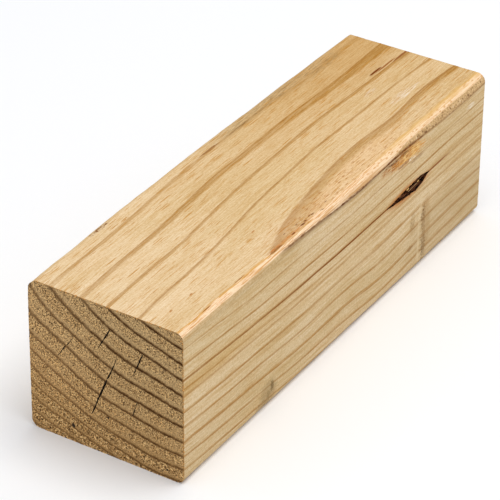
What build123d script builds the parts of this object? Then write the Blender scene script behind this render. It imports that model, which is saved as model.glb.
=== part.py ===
"""Short length of square dressed softwood, sawn to length at both ends.

The stick lies along X on its base, with the origin in the middle of the base. The end with the drying
checks faces -X, and the face with the bark pocket faces -Y. All sizes are in millimetres.
"""

import os

from build123d import *

# The stick: dressed section with eased arrises, and the length it was sawn to
LENGTH = 300.0
WIDTH = 90.0
HEIGHT = 88.0
ARRIS_RADIUS = 4.5

# The pith of the tree lies outside the section: beyond the -Y face and above the top
PITH_BEYOND_SIDE = 13.0
PITH_ABOVE_TOP = 95.0

# Drying checks in the -X end: how long each one is on the face, and how wide it gapes in its middle
LONG_CHECK_LENGTH = 40.5
LONG_CHECK_GAPE = 0.90
UPPER_CHECK_LENGTH = 16.0
UPPER_CHECK_GAPE = 0.70
RIGHT_CHECK_LENGTH = 15.8
RIGHT_CHECK_GAPE = 0.75
LEFT_CHECK_LENGTH = 15.5
LEFT_CHECK_GAPE = 0.50
LOWER_CHECK_LENGTH = 9.5
LOWER_CHECK_GAPE = 0.45
# How wide a check still is at its front, where the wood has not parted yet
CHECK_FRONT = 0.12
# Where the middle of each check lies on the end, from the +Y face across and from the top down
LONG_CHECK_SHARES = (0.484, 0.545)
UPPER_CHECK_SHARES = (0.489, 0.218)
RIGHT_CHECK_SHARES = (0.713, 0.301)
LEFT_CHECK_SHARES = (0.238, 0.367)
LOWER_CHECK_SHARES = (0.685, 0.613)

# Bark pocket in the -Y face: a spindle-shaped hollow that runs with the grain
POCKET_LENGTH = 43.0
POCKET_RADIUS = 3.3
POCKET_FROM_CHECKED_END = 195.0
POCKET_BELOW_TOP = 32.0
# How much higher the far tip lies than the near one
POCKET_RISE = 1.5
# Where along its length the pocket is widest
POCKET_WIDEST_SHARE = 0.70

CHECKS = [
    (LONG_CHECK_LENGTH, LONG_CHECK_GAPE, LONG_CHECK_SHARES),
    (UPPER_CHECK_LENGTH, UPPER_CHECK_GAPE, UPPER_CHECK_SHARES),
    (RIGHT_CHECK_LENGTH, RIGHT_CHECK_GAPE, RIGHT_CHECK_SHARES),
    (LEFT_CHECK_LENGTH, LEFT_CHECK_GAPE, LEFT_CHECK_SHARES),
    (LOWER_CHECK_LENGTH, LOWER_CHECK_GAPE, LOWER_CHECK_SHARES),
]

pith = Vector(-LENGTH / 2, -WIDTH / 2 - PITH_BEYOND_SIDE, HEIGHT + PITH_ABOVE_TOP)


def check_plane(shares):
    """Plane through the middle of a check: X runs out from the pith, Y across the gap, Z along the stick."""
    across_share, down_share = shares
    middle = Vector(-LENGTH / 2, WIDTH / 2 - across_share * WIDTH, HEIGHT - down_share * HEIGHT)
    return Plane(origin=middle, x_dir=middle - pith, z_dir=(1, 0, 0))


with BuildPart() as timber_post:
    # Dressed section with its four arrises eased, run out to the full length
    with BuildSketch(Plane.YZ.offset(-LENGTH / 2)):
        with Locations((0, HEIGHT / 2)):
            RectangleRounded(WIDTH, HEIGHT, ARRIS_RADIUS)
    extrude(amount=LENGTH)

    # Drying checks: half-penny cracks in line with the pith, as deep as half their length on the face
    for length, gape, shares in CHECKS:
        across = check_plane(shares)
        with BuildSketch(across):
            with BuildLine():
                upper = TangentArc((0, gape / 2), (length / 2, CHECK_FRONT / 2), tangent=(1, 0))
                lower = TangentArc((0, -gape / 2), (length / 2, -CHECK_FRONT / 2), tangent=(1, 0))
                Line(upper @ 1, lower @ 1)
                Line(upper @ 0, lower @ 0)
            make_face()
        revolve(axis=Axis(across.origin, across.y_dir), mode=Mode.SUBTRACT)

    # Bark pocket: a spindle with its long axis in the face, pointed at both ends
    near_tip = Vector(-LENGTH / 2 + POCKET_FROM_CHECKED_END, -WIDTH / 2, HEIGHT - POCKET_BELOW_TOP)
    tip_to_tip = Vector(POCKET_LENGTH, 0, POCKET_RISE)
    spindle = Plane(origin=near_tip, x_dir=tip_to_tip, z_dir=(0, -1, 0))
    with BuildSketch(spindle):
        with BuildLine():
            widest = (POCKET_WIDEST_SHARE * tip_to_tip.length, POCKET_RADIUS)
            slow_side = TangentArc(widest, (0, 0), tangent=(-1, 0))
            blunt_side = TangentArc(widest, (tip_to_tip.length, 0), tangent=(1, 0))
            Line(slow_side @ 1, blunt_side @ 1)
        make_face()
    revolve(axis=Axis(spindle.origin, spindle.x_dir), mode=Mode.SUBTRACT)

timber_post.part.label = "timber_post"

os.makedirs("parts", exist_ok=True)
export_step(timber_post.part, "parts/timber_post.step")
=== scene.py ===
"""Looks of a short square timber post: one stick of dressed softwood lying on a pale floor.

Lengths are millimetres in the stick's own coordinates: along from the checked end, across from the +Y face
and down from the top face. They become metres in the shared frame when a mesh is made.
"""

import itertools
import math

import bmesh
import bpy
import numpy as np
from mathutils import Matrix, Vector


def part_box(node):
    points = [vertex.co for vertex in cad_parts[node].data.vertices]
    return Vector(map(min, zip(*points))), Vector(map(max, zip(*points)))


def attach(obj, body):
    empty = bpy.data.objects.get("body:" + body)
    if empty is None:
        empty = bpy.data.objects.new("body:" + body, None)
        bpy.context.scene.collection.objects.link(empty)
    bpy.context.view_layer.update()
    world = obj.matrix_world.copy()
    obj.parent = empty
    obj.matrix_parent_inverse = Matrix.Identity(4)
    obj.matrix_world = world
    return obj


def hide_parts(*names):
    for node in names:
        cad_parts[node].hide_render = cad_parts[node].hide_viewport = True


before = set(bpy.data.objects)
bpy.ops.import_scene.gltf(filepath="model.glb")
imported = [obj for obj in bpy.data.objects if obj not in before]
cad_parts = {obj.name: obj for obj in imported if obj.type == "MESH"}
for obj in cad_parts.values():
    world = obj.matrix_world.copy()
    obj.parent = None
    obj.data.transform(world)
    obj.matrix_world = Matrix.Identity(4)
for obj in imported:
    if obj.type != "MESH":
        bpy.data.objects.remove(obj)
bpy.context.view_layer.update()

# The stick's box in the shared frame, in millimetres
MM = 0.001
low, high = (np.array(corner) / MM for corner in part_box("timber_post"))
LENGTH, WIDTH, HEIGHT = high - low
ARRIS_RADIUS = 4.5

# Mesh of the stick: step round the section, steps in half an arris, and steps along the grain
FLAT_STEP = 1.1
ARRIS_STEPS = 4
ALONG_STEP = 2.0
FINE_STEP = 1.0
FINE_FROM = 190.0
FINE_TO = 246.0
NEAR_END_STEPS = (0.6, 1.4, 2.5)

# The pith of the tree, and how far it sags towards the stick along the grain
PITH_ACROSS = 103.0
PITH_DOWN = -95.0
PITH_SAG = 6.8
PITH_SAG_AT = 200.0
PITH_LIFT_BY_END = 2.0
# Distance of each growth ring from the pith; the first one is ring number -2
RING_RADII = (
    78, 86.5, 95, 104, 112.5, 121.3, 130.6, 140, 149, 158.5, 167, 174.5, 182, 188.5, 196, 203, 210, 217,
)
FIRST_RING = -2
RING_PITCH = 9.0
# How far a traced point of a ring pulls the rings around it, and how far its pull reaches along the grain
PULL_REACH = 55.0
PULL_ALONG_SHARE = 0.5
PULL_EASE = 0.06

# Traced ring lines: ring number, then points (across, down) on the checked end
RINGS_ON_END = {
    1: [(66, 1), (77.5, 5), (89.6, 7.9)],
    2: [(48, 1), (60, 8), (71, 11.7), (89.6, 17)],
    3: [(32, 1), (39, 6.7), (46.7, 11.3), (54, 15), (66.7, 19.2), (76.7, 22.5), (89.6, 26.5)],
    4: [(12.5, 1), (24, 10), (33, 15.8), (41.7, 20), (54, 26.3), (63, 29.2), (75, 31.7), (89.6, 35.4)],
    5: [(1.7, 4), (10.8, 13.8), (18, 19.2), (27.5, 24.2), (36.7, 30), (46.7, 34.6), (58, 38.3), (89.6, 44.6)],
    6: [(1, 19.6), (10.8, 25.4), (21.7, 32), (33, 38.3), (43, 43.3), (53, 47.5), (63, 49.2), (89.6, 53.3)],
    7: [(1, 32.5), (16.7, 40.8), (27.5, 47.5), (41.7, 53.8), (50, 55.8), (63, 58.8), (73, 61.3),
        (89.6, 62.3)],
    8: [(1, 42), (20, 53), (31.7, 59), (39, 62.5), (65, 68.3), (89.6, 71)],
    9: [(1, 51.3), (19, 61.7), (29, 66.7), (40, 70.8), (63, 76.7), (89.6, 78.8)],
    10: [(1, 62), (12.5, 68), (29, 74.6), (46.7, 81), (67, 86.3)],
    11: [(1, 69), (17, 76), (35, 83.3), (47, 86.7)],
    12: [(1, 78), (8, 82), (17, 84)],
}
# Points (along, across) on the top
RINGS_ON_TOP = {
    0: [(83, 88), (94, 83), (106, 78), (120, 76), (140, 73), (160, 70.4), (180, 68.6), (200, 68), (230, 70.4),
        (260, 68.4), (300, 70.4)],
    1: [(0, 65), (40, 62.6), (80, 60), (100, 57.6), (140, 54.4), (200, 53), (240, 53.4), (300, 55.2)],
    2: [(0, 45.6), (60, 45), (100, 42), (160, 39), (200, 38), (260, 40), (300, 41)],
    3: [(0, 31.5), (60, 28.3), (100, 25.8), (160, 23.6), (200, 23.2), (240, 24.6), (300, 24)],
    4: [(0, 14), (100, 8.6), (140, 7.4), (200, 7), (300, 8)],
}
# Points (along, down) on the side with the bark pocket
RINGS_ON_SIDE = {
    0: [(92, 2.1), (110, 2.5), (129, 3.3), (146, 4.0), (159, 4.5), (175, 4.5), (205, 4.0), (232, 4.8),
        (254, 6.0), (276, 6.1), (297, 5.5)],
    1: [(0, 9), (60, 14), (140, 15.6)],
    2: [(0, 18.4), (50, 21), (100, 23.4), (180, 24.4), (220, 24), (300, 23)],
    3: [(0, 27), (40, 29.4), (80, 31), (120, 32), (194, 32), (260, 30.6)],
    4: [(0, 36), (40, 38), (110, 41.4), (180, 40.6), (220, 40)],
    5: [(0, 46), (40, 48), (80, 49.6), (180, 52), (220, 50), (260, 50), (300, 49)],
    6: [(0, 54.4), (80, 58), (160, 60), (190, 62), (220, 60), (260, 58), (300, 59.4)],
    7: [(0, 63.6), (80, 68), (120, 70), (160, 70), (195, 73), (225, 71), (260, 69), (300, 68)],
    8: [(0, 71.4), (40, 74), (100, 77.6), (180, 81), (220, 79.6), (300, 76.4)],
    9: [(0, 79.4), (54, 82), (80, 83)],
}
# Points (along, across, down) on the upper arris where ring 0 stays just outside the stick
ARRIS_INSIDE_RING_0 = [(0, 88, 2), (20, 88, 2), (40, 88, 2), (60, 88, 2), (74, 88, 2)]
ARRIS_AGE = 0.16

# Share of each ring that is latewood, from ring 0 outwards, at the checked end and at the far end
LATE_SHARES_NEAR = (0.32, 0.07, 0.14, 0.21, 0.16, 0.20, 0.15, 0.26, 0.18, 0.20, 0.18, 0.18, 0.18)
LATE_SHARES_FAR = (0.20, 0.10, 0.20, 0.62, 0.20, 0.24, 0.20, 0.30, 0.24, 0.22, 0.18, 0.18, 0.18)
# How strongly each ring's latewood stands out, from ring 0 outwards: at both ends, and on the side
RING_TONES_NEAR = (0.17, 0.50, 0.62, 0.62, 0.45, 0.50, 0.50, 0.60, 0.50, 0.50, 0.5, 0.5, 0.5)
RING_TONES_FAR = (0.85, 0.70, 0.70, 0.97, 0.30, 0.60, 0.60, 0.65, 0.55, 0.50, 0.5, 0.5, 0.5)
RING_TONES_ON_SIDE = (0.60, 0.46, 0.70, 0.55, 0.40, 0.60, 0.60, 0.70, 0.64, 0.60, 0.55, 0.5, 0.5)
# How dark the outer edge of each ring is, on the side and elsewhere
RING_EDGES_ON_SIDE = (0.40, 0.20, 0.30, 0.60, 0.15, 0.20, 0.22, 0.24, 0.22, 0.20, 0.10, 0.10, 0.10)
RING_EDGES = (0.30, 0.26, 0.16, 0.12, 0.08, 0.15, 0.15, 0.15, 0.15, 0.15, 0.15, 0.15, 0.15)
# The dark edge of ring 3 on the side starts past the checked end and fades out beyond the bark pocket
DARK_RING = 3
DARK_RING_FADES = (240, 266)
DARK_RING_STARTS = (5, 32)
DARK_RING_REACH = 0.4
# Its darkest line lies just inside the ring's edge
DARK_RING_AGE = 2.95
# A false ring shows on the side between two true ones
FALSE_RING_AGE = 3.57

# Drying checks in the near end: first and last point (across, down), how wide and where it is pinched
CHECKS = [
    {"first": (51.6, 28.4), "last": (35.6, 67.4), "gape": 1.15, "pinch_share": 0.36},
    {"first": (48.4, 12.0), "last": (40.4, 26.4), "gape": 1.05, "pinch_share": 0.55},
    {"first": (67.3, 19.0), "last": (61.3, 34.2), "gape": 0.95, "pinch_share": 0.70},
    {"first": (26.5, 25.0), "last": (16.5, 39.2), "gape": 0.62, "pinch_share": 0.45},
    {"first": (63.3, 48.6), "last": (60.2, 58.8), "gape": 0.80, "pinch_share": 0.40},
]
# How the checks wander to both sides: height, pitch and seed of each kind; and their step
CHECK_WANDER = ((0.22, 5.0, 11), (0.10, 1.6, 12))
CHECK_STEP = 0.5
# How much a check narrows at its pinch and over what reach, and how uneven its width is
CHECK_PINCH = 0.75
CHECK_PINCH_REACH = 1.2
CHECK_UNEVEN = 0.35
# How far the cutters of the checks and pits stand out of the near end, and half the width a check closes to
END_CUTTER_LIFT = 1.0
CHECK_TIP = 0.02
# Crack along the upper arris over the side: points (along, down)
ARRIS_CRACK = [(104, 2.4), (110, 2.5), (129, 3.3), (146, 4.0), (159, 4.5), (175, 4.5), (206, 4.1)]
ARRIS_CRACK_WIDTH = 0.40
ARRIS_CRACK_DEPTH = 0.3
ARRIS_CRACK_STEP = 0.8
ARRIS_CRACK_TIP = 0.03
# How far the cutters of the crack and of the bark pocket stand out of the stick
CUTTER_LIFT = 1.5

# Bark pocket in the side: its upper and lower outline (along, down), from the near tip to the far one
POCKET_UPPER = [
    (193.0, 31.7), (198.6, 31.4), (207.8, 30.3), (219.8, 29.3), (228.6, 28.8), (233.2, 29.4), (239.2, 30.6),
]
POCKET_LOWER = [
    (193.0, 31.8), (198.2, 32.9), (208.1, 34.0), (219.2, 35.2), (225.5, 35.7), (231.9, 34.5), (239.2, 30.7),
]
POCKET_STEPS = 90
POCKET_ROWS = 13
POCKET_RAGGED = 0.06
POCKET_DEPTH = 3.8
# Wood fragments caught in the pocket: middle (along, down), length, height and rise towards the far end
FRAGMENTS = [
    ((210.5, 32.6), 6.0, 1.1, 0.05), ((213.5, 33.6), 5.0, 0.8, 0.10), ((200.5, 32.2), 4.0, 0.6, 0.0),
    ((224.0, 34.3), 8.0, 0.7, 0.12), ((233.0, 31.0), 5.0, 1.2, 0.05), ((226.5, 30.9), 6.0, 0.7, 0.10),
    ((221.5, 32.2), 6.0, 0.6, 0.08), ((229.0, 33.6), 5.0, 0.7, 0.2),
]
GOLDEN_FRAGMENTS = [
    ((217.2, 31.5), 2.8, 1.0, 0.10), ((220.8, 30.4), 1.3, 0.7, 0.0), ((228.7, 32.2), 2.4, 0.5, 0.12),
]
TAN_FRAGMENTS = [
    ((222.8, 33.1), 13.0, 0.50, 0.09), ((202.6, 32.2), 2.2, 0.6, 0.05), ((209.0, 31.9), 3.0, 0.35, 0.05),
    ((231.5, 31.6), 3.0, 0.3, 0.10),
]
FRAGMENT_SIDES = 8
FRAGMENT_BELOW_FACE = 1.0

# Small pits torn out of the near end: middle (across, down) and radius
PITS = [
    ((24.6, 78.2), 1.1), ((45.8, 65.4), 0.6), ((80.0, 82.9), 0.7), ((69.8, 15.6), 0.45), ((34.4, 71.9), 0.45),
    ((35.2, 69.6), 0.35), ((28.0, 17.2), 0.45), ((36.4, 24.6), 0.4), ((64.3, 46.0), 0.3), ((65.1, 42.6), 0.3),
    ((39.4, 28.6), 0.3), ((70.6, 16.4), 0.3),
]
PIT_SIDES = 8
PIT_DEPTH = 1.2
# Rough places on the near end: middle (across, down) and reach
TORN_SPOTS = [
    ((26, 16), 5), ((36, 24), 4), ((70, 24), 8), ((46, 66), 6), ((60, 80), 9), ((20, 80), 12), ((82, 82), 6),
]

# How far the section has dried out of square: the +Y face leans out at its foot, its upper arris is worn
LEAN_OUT = 0.9
LEAN_WORN = 0.5
LEAN_WORN_REACH = 7.0
LEAN_WORN_TO = 90.0
# The upper arris of the +Y face is eased more towards both ends: its bow, how that falls, middle and reach
ARRIS_BOW = 0.45
ARRIS_BOW_FALL = 1.15
ARRIS_BOW_AT = 130.0
ARRIS_BOW_REACH = 150.0

# Roughness of the relief: height, pitch and seed of each kind
END_ROUGHNESS = ((0.05, 1.0, 2), (0.06, 2.4, 3))
ARRIS_ROUGHNESS = ((0.16, (18, 60, 60), 4), (0.07, (5, 60, 60), 5))
# Long faces: how far late wood stands out, height of long waves, and how far faces and arrises are set back
FACE_LATE_HEIGHT = 0.05
FACE_WAVE_HEIGHT = 0.05
FACE_SET_BACK = 0.10
ARRIS_SET_BACK = 0.1
# Sawn ends: depth of early wood, how far all of it is set back, and its small pits and tufts
END_EARLY_DEPTH = 0.10
END_SET_BACK = 0.12
END_PIT_DEPTH = 0.35
END_PIT_CHANCE = 0.985
TUFT_HEIGHT = 0.18
TUFT_CHANCE = 0.02
# Scar on the side with a raised lip beside it: where along, how wide and how deep or high
SCAR_AT = 231.0
SCAR_REACH = 1.7
SCAR_DEPTH = 0.35
SCAR_WANDER = 0.6
LIP_AT = 235.5
LIP_REACH = 1.6
LIP_HEIGHT = 0.12
# How far down the scar and its lip start, and where both end
SCAR_STARTS = (38, 46)
LIP_STARTS = (48, 54)
SCAR_ENDS = (84, 78)
# Torn grain on the side above the bark pocket: middle, reach both ways, height and depth
TORN_GRAIN_ALONG = 224.0
TORN_GRAIN_DOWN = 9.5
TORN_GRAIN_LENGTH = 20.0
TORN_GRAIN_REACH = 4.5
TORN_GRAIN_HEIGHT = 0.22
TORN_GRAIN_DEPTH = 0.12
# Faces this close to an end have the sawn finish
SAWN_REACH = 0.8
# Edges that turn more than this stay sharp, in degrees
SHARP_ANGLE = 38.0

# Colours of the wood, as the share of red, green and blue light it returns; tints multiply what is there
PALE_WOOD = (0.80, 0.605, 0.375, 1)
PLAIN_WOOD = (0.715, 0.523, 0.285, 1)
GOLDEN_WOOD = (0.615, 0.39, 0.166, 1)
PEACH_WOOD = (0.79, 0.545, 0.305, 1)
LATEWOOD = (0.435, 0.218, 0.046, 1)
RING_EDGE = (0.29, 0.10, 0.021, 1)
DARK_LINE = (0.24, 0.075, 0.008, 1)
SIDE_TINT = (0.935, 0.945, 0.915, 1)
LOW_SIDE_TINT = (0.945, 0.955, 0.965, 1)
STREAK_TINT = (0.87, 0.77, 0.60, 1)
RESIN = (0.52, 0.235, 0.035, 1)
RESIN_BROWN = (0.36, 0.115, 0.010, 1)
# Brown band on the side near the checked end, and how far down it lies
BROWN_BAND = (0.58, 0.355, 0.11, 1)
BROWN_BAND_DOWN = 32.0
# Torn fibres on the upper arris over the side and their painted highlight, the painted shade under them, torn
# pores and the bark line
# Peach fibres are made pale partly as painted highlight on the arris; the bright fibre colour is painted
# highlight
PEACH_FIBRE_AND_HIGHLIGHT = (0.95, 0.715, 0.475, 1)
RUST_FIBRE = (0.64, 0.31, 0.09, 1)
PAINTED_HIGHLIGHT_FIBRE = (1.0, 0.80, 0.54, 1)
LOWER_FIBRE = (0.58, 0.34, 0.15, 1)
FIBRE_SPECK = (0.58, 0.25, 0.055, 1)
BORDER_ORANGE = (0.66, 0.33, 0.07, 1)
CREST_GOLD = (0.72, 0.43, 0.13, 1)
# Painted shade on the side just under the torn strip, nearer and farther along the stick
NEAR_PAINTED_SHADE_TINT = (0.86, 0.85, 0.83, 1)
FAR_PAINTED_SHADE_TINT = (0.92, 0.91, 0.90, 1)
SANDY_DARK = (0.43, 0.255, 0.11, 1)
SANDY_PALE = (0.70, 0.475, 0.24, 1)
ARRIS_PORE_PALE = (0.78, 0.58, 0.36, 1)
ARRIS_PORE_DARK = (0.17, 0.08, 0.033, 1)
BARK_SHADE = (0.28, 0.165, 0.08, 1)
BARK_LINE = (0.14, 0.038, 0.008, 1)
# Where along the stick the bark line leaves the torn strip and follows ring 0
BARK_LINE_TURNS = (160, 185)
# Sawn ends
END_GREY = (0.54, 0.372, 0.182, 1)
END_BROWN = (0.48, 0.29, 0.12, 1)
END_CLOUD = (0.40, 0.24, 0.095, 1)
END_LIGHT_TINT = (1.12, 1.11, 1.13, 1)
EARLY_BROWN = (0.36, 0.205, 0.08, 1)
MOTTLE_DARK_TINT = (0.20, 0.15, 0.11, 1)
MOTTLE_PALE_TINT = (2.20, 2.05, 1.75, 1)
END_LATE_TINT = (0.57, 0.46, 0.35, 1)
END_EDGE_TINT = (0.14, 0.08, 0.045, 1)
END_PORE_PALE = (0.92, 0.62, 0.28, 1)
END_PORE_DARK = (0.035, 0.013, 0.005, 1)
BASE_FLECK_PALE = (0.95, 0.62, 0.27, 1)
BASE_FLECK_DARK = (0.05, 0.02, 0.008, 1)
BURR_RUST = (0.42, 0.22, 0.075, 1)
# Checks, with painted shade on their walls, and bark pocket
CHECK_SHADE_BLACK = (0.030, 0.017, 0.008, 1)
CHECK_SHADE_BROWN = (0.10, 0.06, 0.028, 1)
BARK_BROWN = (0.10, 0.031, 0.012, 1)
BARK_BLACK = (0.008, 0.0045, 0.003, 1)
BARK_DARK = (0.08, 0.034, 0.018, 1)
POCKET_WOOD = (0.13, 0.045, 0.018, 1)
POCKET_GOLD = (0.95, 0.57, 0.19, 1)
POCKET_TAN = (0.42, 0.235, 0.11, 1)

# How growth rings rise and end on planed faces and on sawn ends, besides the share that is latewood
PLANED_RINGS = {"Onset": 0.45, "Edge_Share": 0.4, "Waver": 0.4, "Fade": 0.04}
SAWN_RINGS = {"Late_Share": 0.26, "Onset": 0.95, "Edge_Share": 0.65, "Waver": 1.3, "Fade": 0.13}
# Torn pores: width of a cell in millimetres, size of a pore in it, and the shares that are pale and dark
ARRIS_PORES = {"Cell": 1.5, "Size": 0.60, "Pale_Keep": 0.15, "Dark_Keep": 0.30}
END_PORES = {"Cell": 0.62, "Size": 0.68, "Pale_Keep": 0.20, "Dark_Keep": 0.24}
BASE_FLECKS = {"Cell": 1.15, "Size": 0.62, "Pale_Keep": 0.26, "Dark_Keep": 0.26}
# The saw cuts through tissue that is drawn out along the stick
TISSUE_DRAWN_OUT = (0.05, 1.0, 1.0)
# Resin canals on the long faces: cells for each millimetre (along, round, outwards), thickness and strength
CANALS = [
    ((0.034, 0.50, 0.50), 0.25, 0.80), ((0.05, 1.10, 1.10), 0.30, 0.85), ((0.09, 1.20, 1.20), 0.30, 0.60),
]
# Where the colours of the side begin on the arris, and where they are full
SIDE_BEGINS = (WIDTH - 3, WIDTH - 0.5)
# Fibres on the long faces: kind, where their noise starts and is full, strength on the top, how much more on
# the side, and tint
FIBRE_TINTS = [
    ("thread", 0.50, 0.68, 0.15, 0.40, (0.80, 0.66, 0.45, 1)),
    ("thread", 0.47, 0.34, 0.15, 0.40, (1.06, 1.09, 1.16, 1)),
    ("fine", 0.47, 0.64, 0.62, -0.20, (0.82, 0.68, 0.45, 1)),
    ("fine", 0.47, 0.32, 0.60, 0.0, (1.10, 1.14, 1.24, 1)),
    ("fuzz", 0.46, 0.64, 0.45, 0.10, (0.80, 0.74, 0.64, 1)),
    ("fuzz", 0.46, 0.34, 0.45, 0.10, (1.09, 1.12, 1.19, 1)),
]

# How often ragged patches vary in a millimetre along, across and down
WITH_GRAIN = (0.16, 0.9, 0.9)
STREAKS = (0.10, 1.6, 1.6)
FINE_STREAKS = (0.13, 2.4, 2.4)
BOLD_STREAKS = (0.15, 1.2, 1.2)
ALL_ROUND = (0.8, 0.8, 0.8)
# Marks on the long faces: middle (along, across, down), reach, raggedness and how it varies, how broken up,
# strength and colour
MARKS = [
    # Brown stains and dark dashes along the upper arris of the +Y face
    ((245, 6, 0), (42, 10, 5), 1.0, STREAKS, 0.6, 0.22, (0.40, 0.275, 0.14, 1)),
    ((190, 5, 0), (52, 5, 5), 1.0, STREAKS, 0.6, 0.30, (0.37, 0.25, 0.12, 1)),
    ((210, 6, 0), (62, 4, 4), 1.0, BOLD_STREAKS, 1.0, 0.50, (0.25, 0.155, 0.065, 1)),
    ((262, 9, 0), (20, 5, 4), 1.0, BOLD_STREAKS, 1.0, 0.45, (0.27, 0.17, 0.075, 1)),
    ((150, 7.4, 0), (11, 0.9, 2), 1.4, BOLD_STREAKS, 0.3, 0.95, (0.26, 0.10, 0.02, 1)),
    ((178, 7.6, 0), (14, 1.1, 2), 0.9, STREAKS, 0.8, 0.85, (0.24, 0.12, 0.035, 1)),
    ((55, 3.6, 0.3), (10, 1.6, 2.5), 2.2, (0.35, 1.1, 1.1), 0.8, 1.00, (0.20, 0.065, 0.010, 1)),
    # Resin spots on the top
    ((31, 74, 0), (2.0, 0.7, 2), 2.0, (0.5, 1.2, 1.2), 0.3, 0.90, (0.42, 0.14, 0.015, 1)),
    ((14, 74, 0), (1.6, 0.6, 2), 2.0, (0.5, 1.2, 1.2), 0.3, 0.85, (0.42, 0.14, 0.015, 1)),
    ((94, 69, 0), (2.4, 0.6, 2), 2.0, (0.5, 1.2, 1.2), 0.3, 0.85, (0.42, 0.14, 0.015, 1)),
    # Reddish streaks in the pointed ring, its dark tip and its rusty border
    ((116, 82, 0), (42, 8, 6), 0.8, FINE_STREAKS, 1.0, 0.30, (0.50, 0.20, 0.045, 1)),
    ((87, 87, 0.5), (8, 0.7, 0.8), 1.4, (0.3, 1.3, 1.3), 0.3, 0.90, (0.24, 0.075, 0.014, 1)),
    ((103, 86.4, 0.2), (23, 1.0, 1.4), 1.4, BOLD_STREAKS, 0.6, 0.90, (0.54, 0.18, 0.035, 1)),
    # Dark dashes on the border of the torn strip
    ((25, 86.8, 0.6), (5.0, 0.32, 0.7), 0.9, BOLD_STREAKS, 0.0, 0.95, (0.30, 0.09, 0.012, 1)),
    ((55, 86.3, 0.4), (6.0, 0.32, 0.7), 0.9, BOLD_STREAKS, 0.3, 0.95, (0.30, 0.09, 0.012, 1)),
    # One long dark line far along the top
    ((270, 37.7, 0), (8, 1.0, 2), 0.9, BOLD_STREAKS, 0.0, 1.00, (0.20, 0.055, 0.008, 1)),
    ((280, 38.8, 0), (13, 0.7, 2), 0.8, BOLD_STREAKS, 0.0, 0.90, (0.30, 0.095, 0.014, 1)),
    ((294, 40.2, 0), (12, 0.9, 2), 0.8, BOLD_STREAKS, 0.0, 0.90, (0.27, 0.085, 0.014, 1)),
    # White scuffs on the top
    ((258, 63, 0), (18, 3.2, 2), 1.2, STREAKS, 1.0, 0.50, (0.92, 0.84, 0.74, 1)),
    ((248, 47, 0), (8, 2.0, 2), 1.2, STREAKS, 1.0, 0.30, (0.92, 0.84, 0.74, 1)),
    # Golden torn patch on the side under the arris
    ((215, 90, 9.0), (21, 3, 5.4), 2.0, (0.18, 1.6, 1.6), 0.55, 1.00, (0.66, 0.26, 0.025, 1)),
    ((206, 90, 8.0), (26, 3, 4.2), 0.8, (0.22, 1.7, 1.7), 0.90, 1.00, (0.40, 0.125, 0.010, 1)),
    ((219, 90, 9.0), (14, 3, 4.4), 0.8, (0.18, 1.4, 1.4), 0.9, 0.80, (0.95, 0.66, 0.27, 1)),
    ((203, 90, 6.2), (18, 3, 1.6), 0.8, FINE_STREAKS, 1.0, 1.00, (0.12, 0.045, 0.016, 1)),
    ((220, 90, 13.2), (6, 3, 1.2), 1.4, (0.4, 1.2, 1.2), 0.9, 0.80, (0.95, 0.84, 0.66, 1)),
    ((225, 90, 15.8), (9, 3, 1.1), 1.2, BOLD_STREAKS, 0.6, 0.85, (0.24, 0.10, 0.035, 1)),
    ((211, 90, 12.6), (10, 3, 1.2), 1.2, BOLD_STREAKS, 0.7, 0.85, (0.26, 0.10, 0.035, 1)),
    # Scar on the side: pale ridge, dark specks and brown shade
    ((230.6, 90, 70), (1.6, 3, 20), 1.4, ALL_ROUND, 0.0, 0.55, (0.82, 0.64, 0.38, 1)),
    ((232, 90, 52), (1.5, 3, 14), 1.4, ALL_ROUND, 0.0, 0.30, (0.80, 0.62, 0.37, 1)),
    ((235.2, 90, 58), (2.6, 3, 10), 2.4, ALL_ROUND, 0.6, 1.00, (0.12, 0.05, 0.012, 1)),
    ((235.8, 90, 75), (3.0, 3, 12), 2.4, ALL_ROUND, 0.6, 1.00, (0.10, 0.045, 0.012, 1)),
    ((238, 90, 64), (6, 3, 22), 1.0, ALL_ROUND, 0.3, 0.50, (0.40, 0.215, 0.07, 1)),
    ((221, 90, 71), (4.0, 3, 1.8), 1.4, ALL_ROUND, 0.3, 0.75, (0.28, 0.14, 0.045, 1)),
    ((223, 90, 56), (3.4, 3, 8), 1.6, ALL_ROUND, 0.6, 0.60, (0.31, 0.18, 0.065, 1)),
    # Small grey knot low on the side
    ((80.5, 90, 77), (1.8, 3, 4.4), 2.2, ALL_ROUND, 0.3, 0.95, (0.10, 0.062, 0.025, 1)),
    ((77, 90, 80), (2.4, 3, 2.6), 2.0, ALL_ROUND, 0.5, 0.65, (0.18, 0.12, 0.05, 1)),
    ((72, 90, 84), (8, 3, 3.6), 1.6, ALL_ROUND, 0.6, 0.65, (0.22, 0.13, 0.055, 1)),
    ((77, 90, 79), (10, 3, 9), 1.0, ALL_ROUND, 0.3, 0.60, (0.33, 0.22, 0.095, 1)),
    # Reddish rim of the bark pocket and the line beyond its tip
    ((217, 90, 32.2), (28, 4, 5.6), 0.4, STREAKS, 0.0, 0.85, (0.48, 0.18, 0.04, 1)),
    ((249, 90, 30.8), (14, 2, 0.7), 0.5, STREAKS, 0.0, 0.75, (0.30, 0.11, 0.04, 1)),
    # Greyer, darker low corner at the far end, partly grey dust and partly painted shade, and a white scuff
    ((275, 90, 72), (75, 4, 32), 0.8, WITH_GRAIN, 0.0, 0.30, (0.46, 0.335, 0.185, 1)),
    ((284, 90, 12), (6, 2, 1.8), 1.0, STREAKS, 0.8, 0.70, (0.93, 0.82, 0.66, 1)),
]

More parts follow.
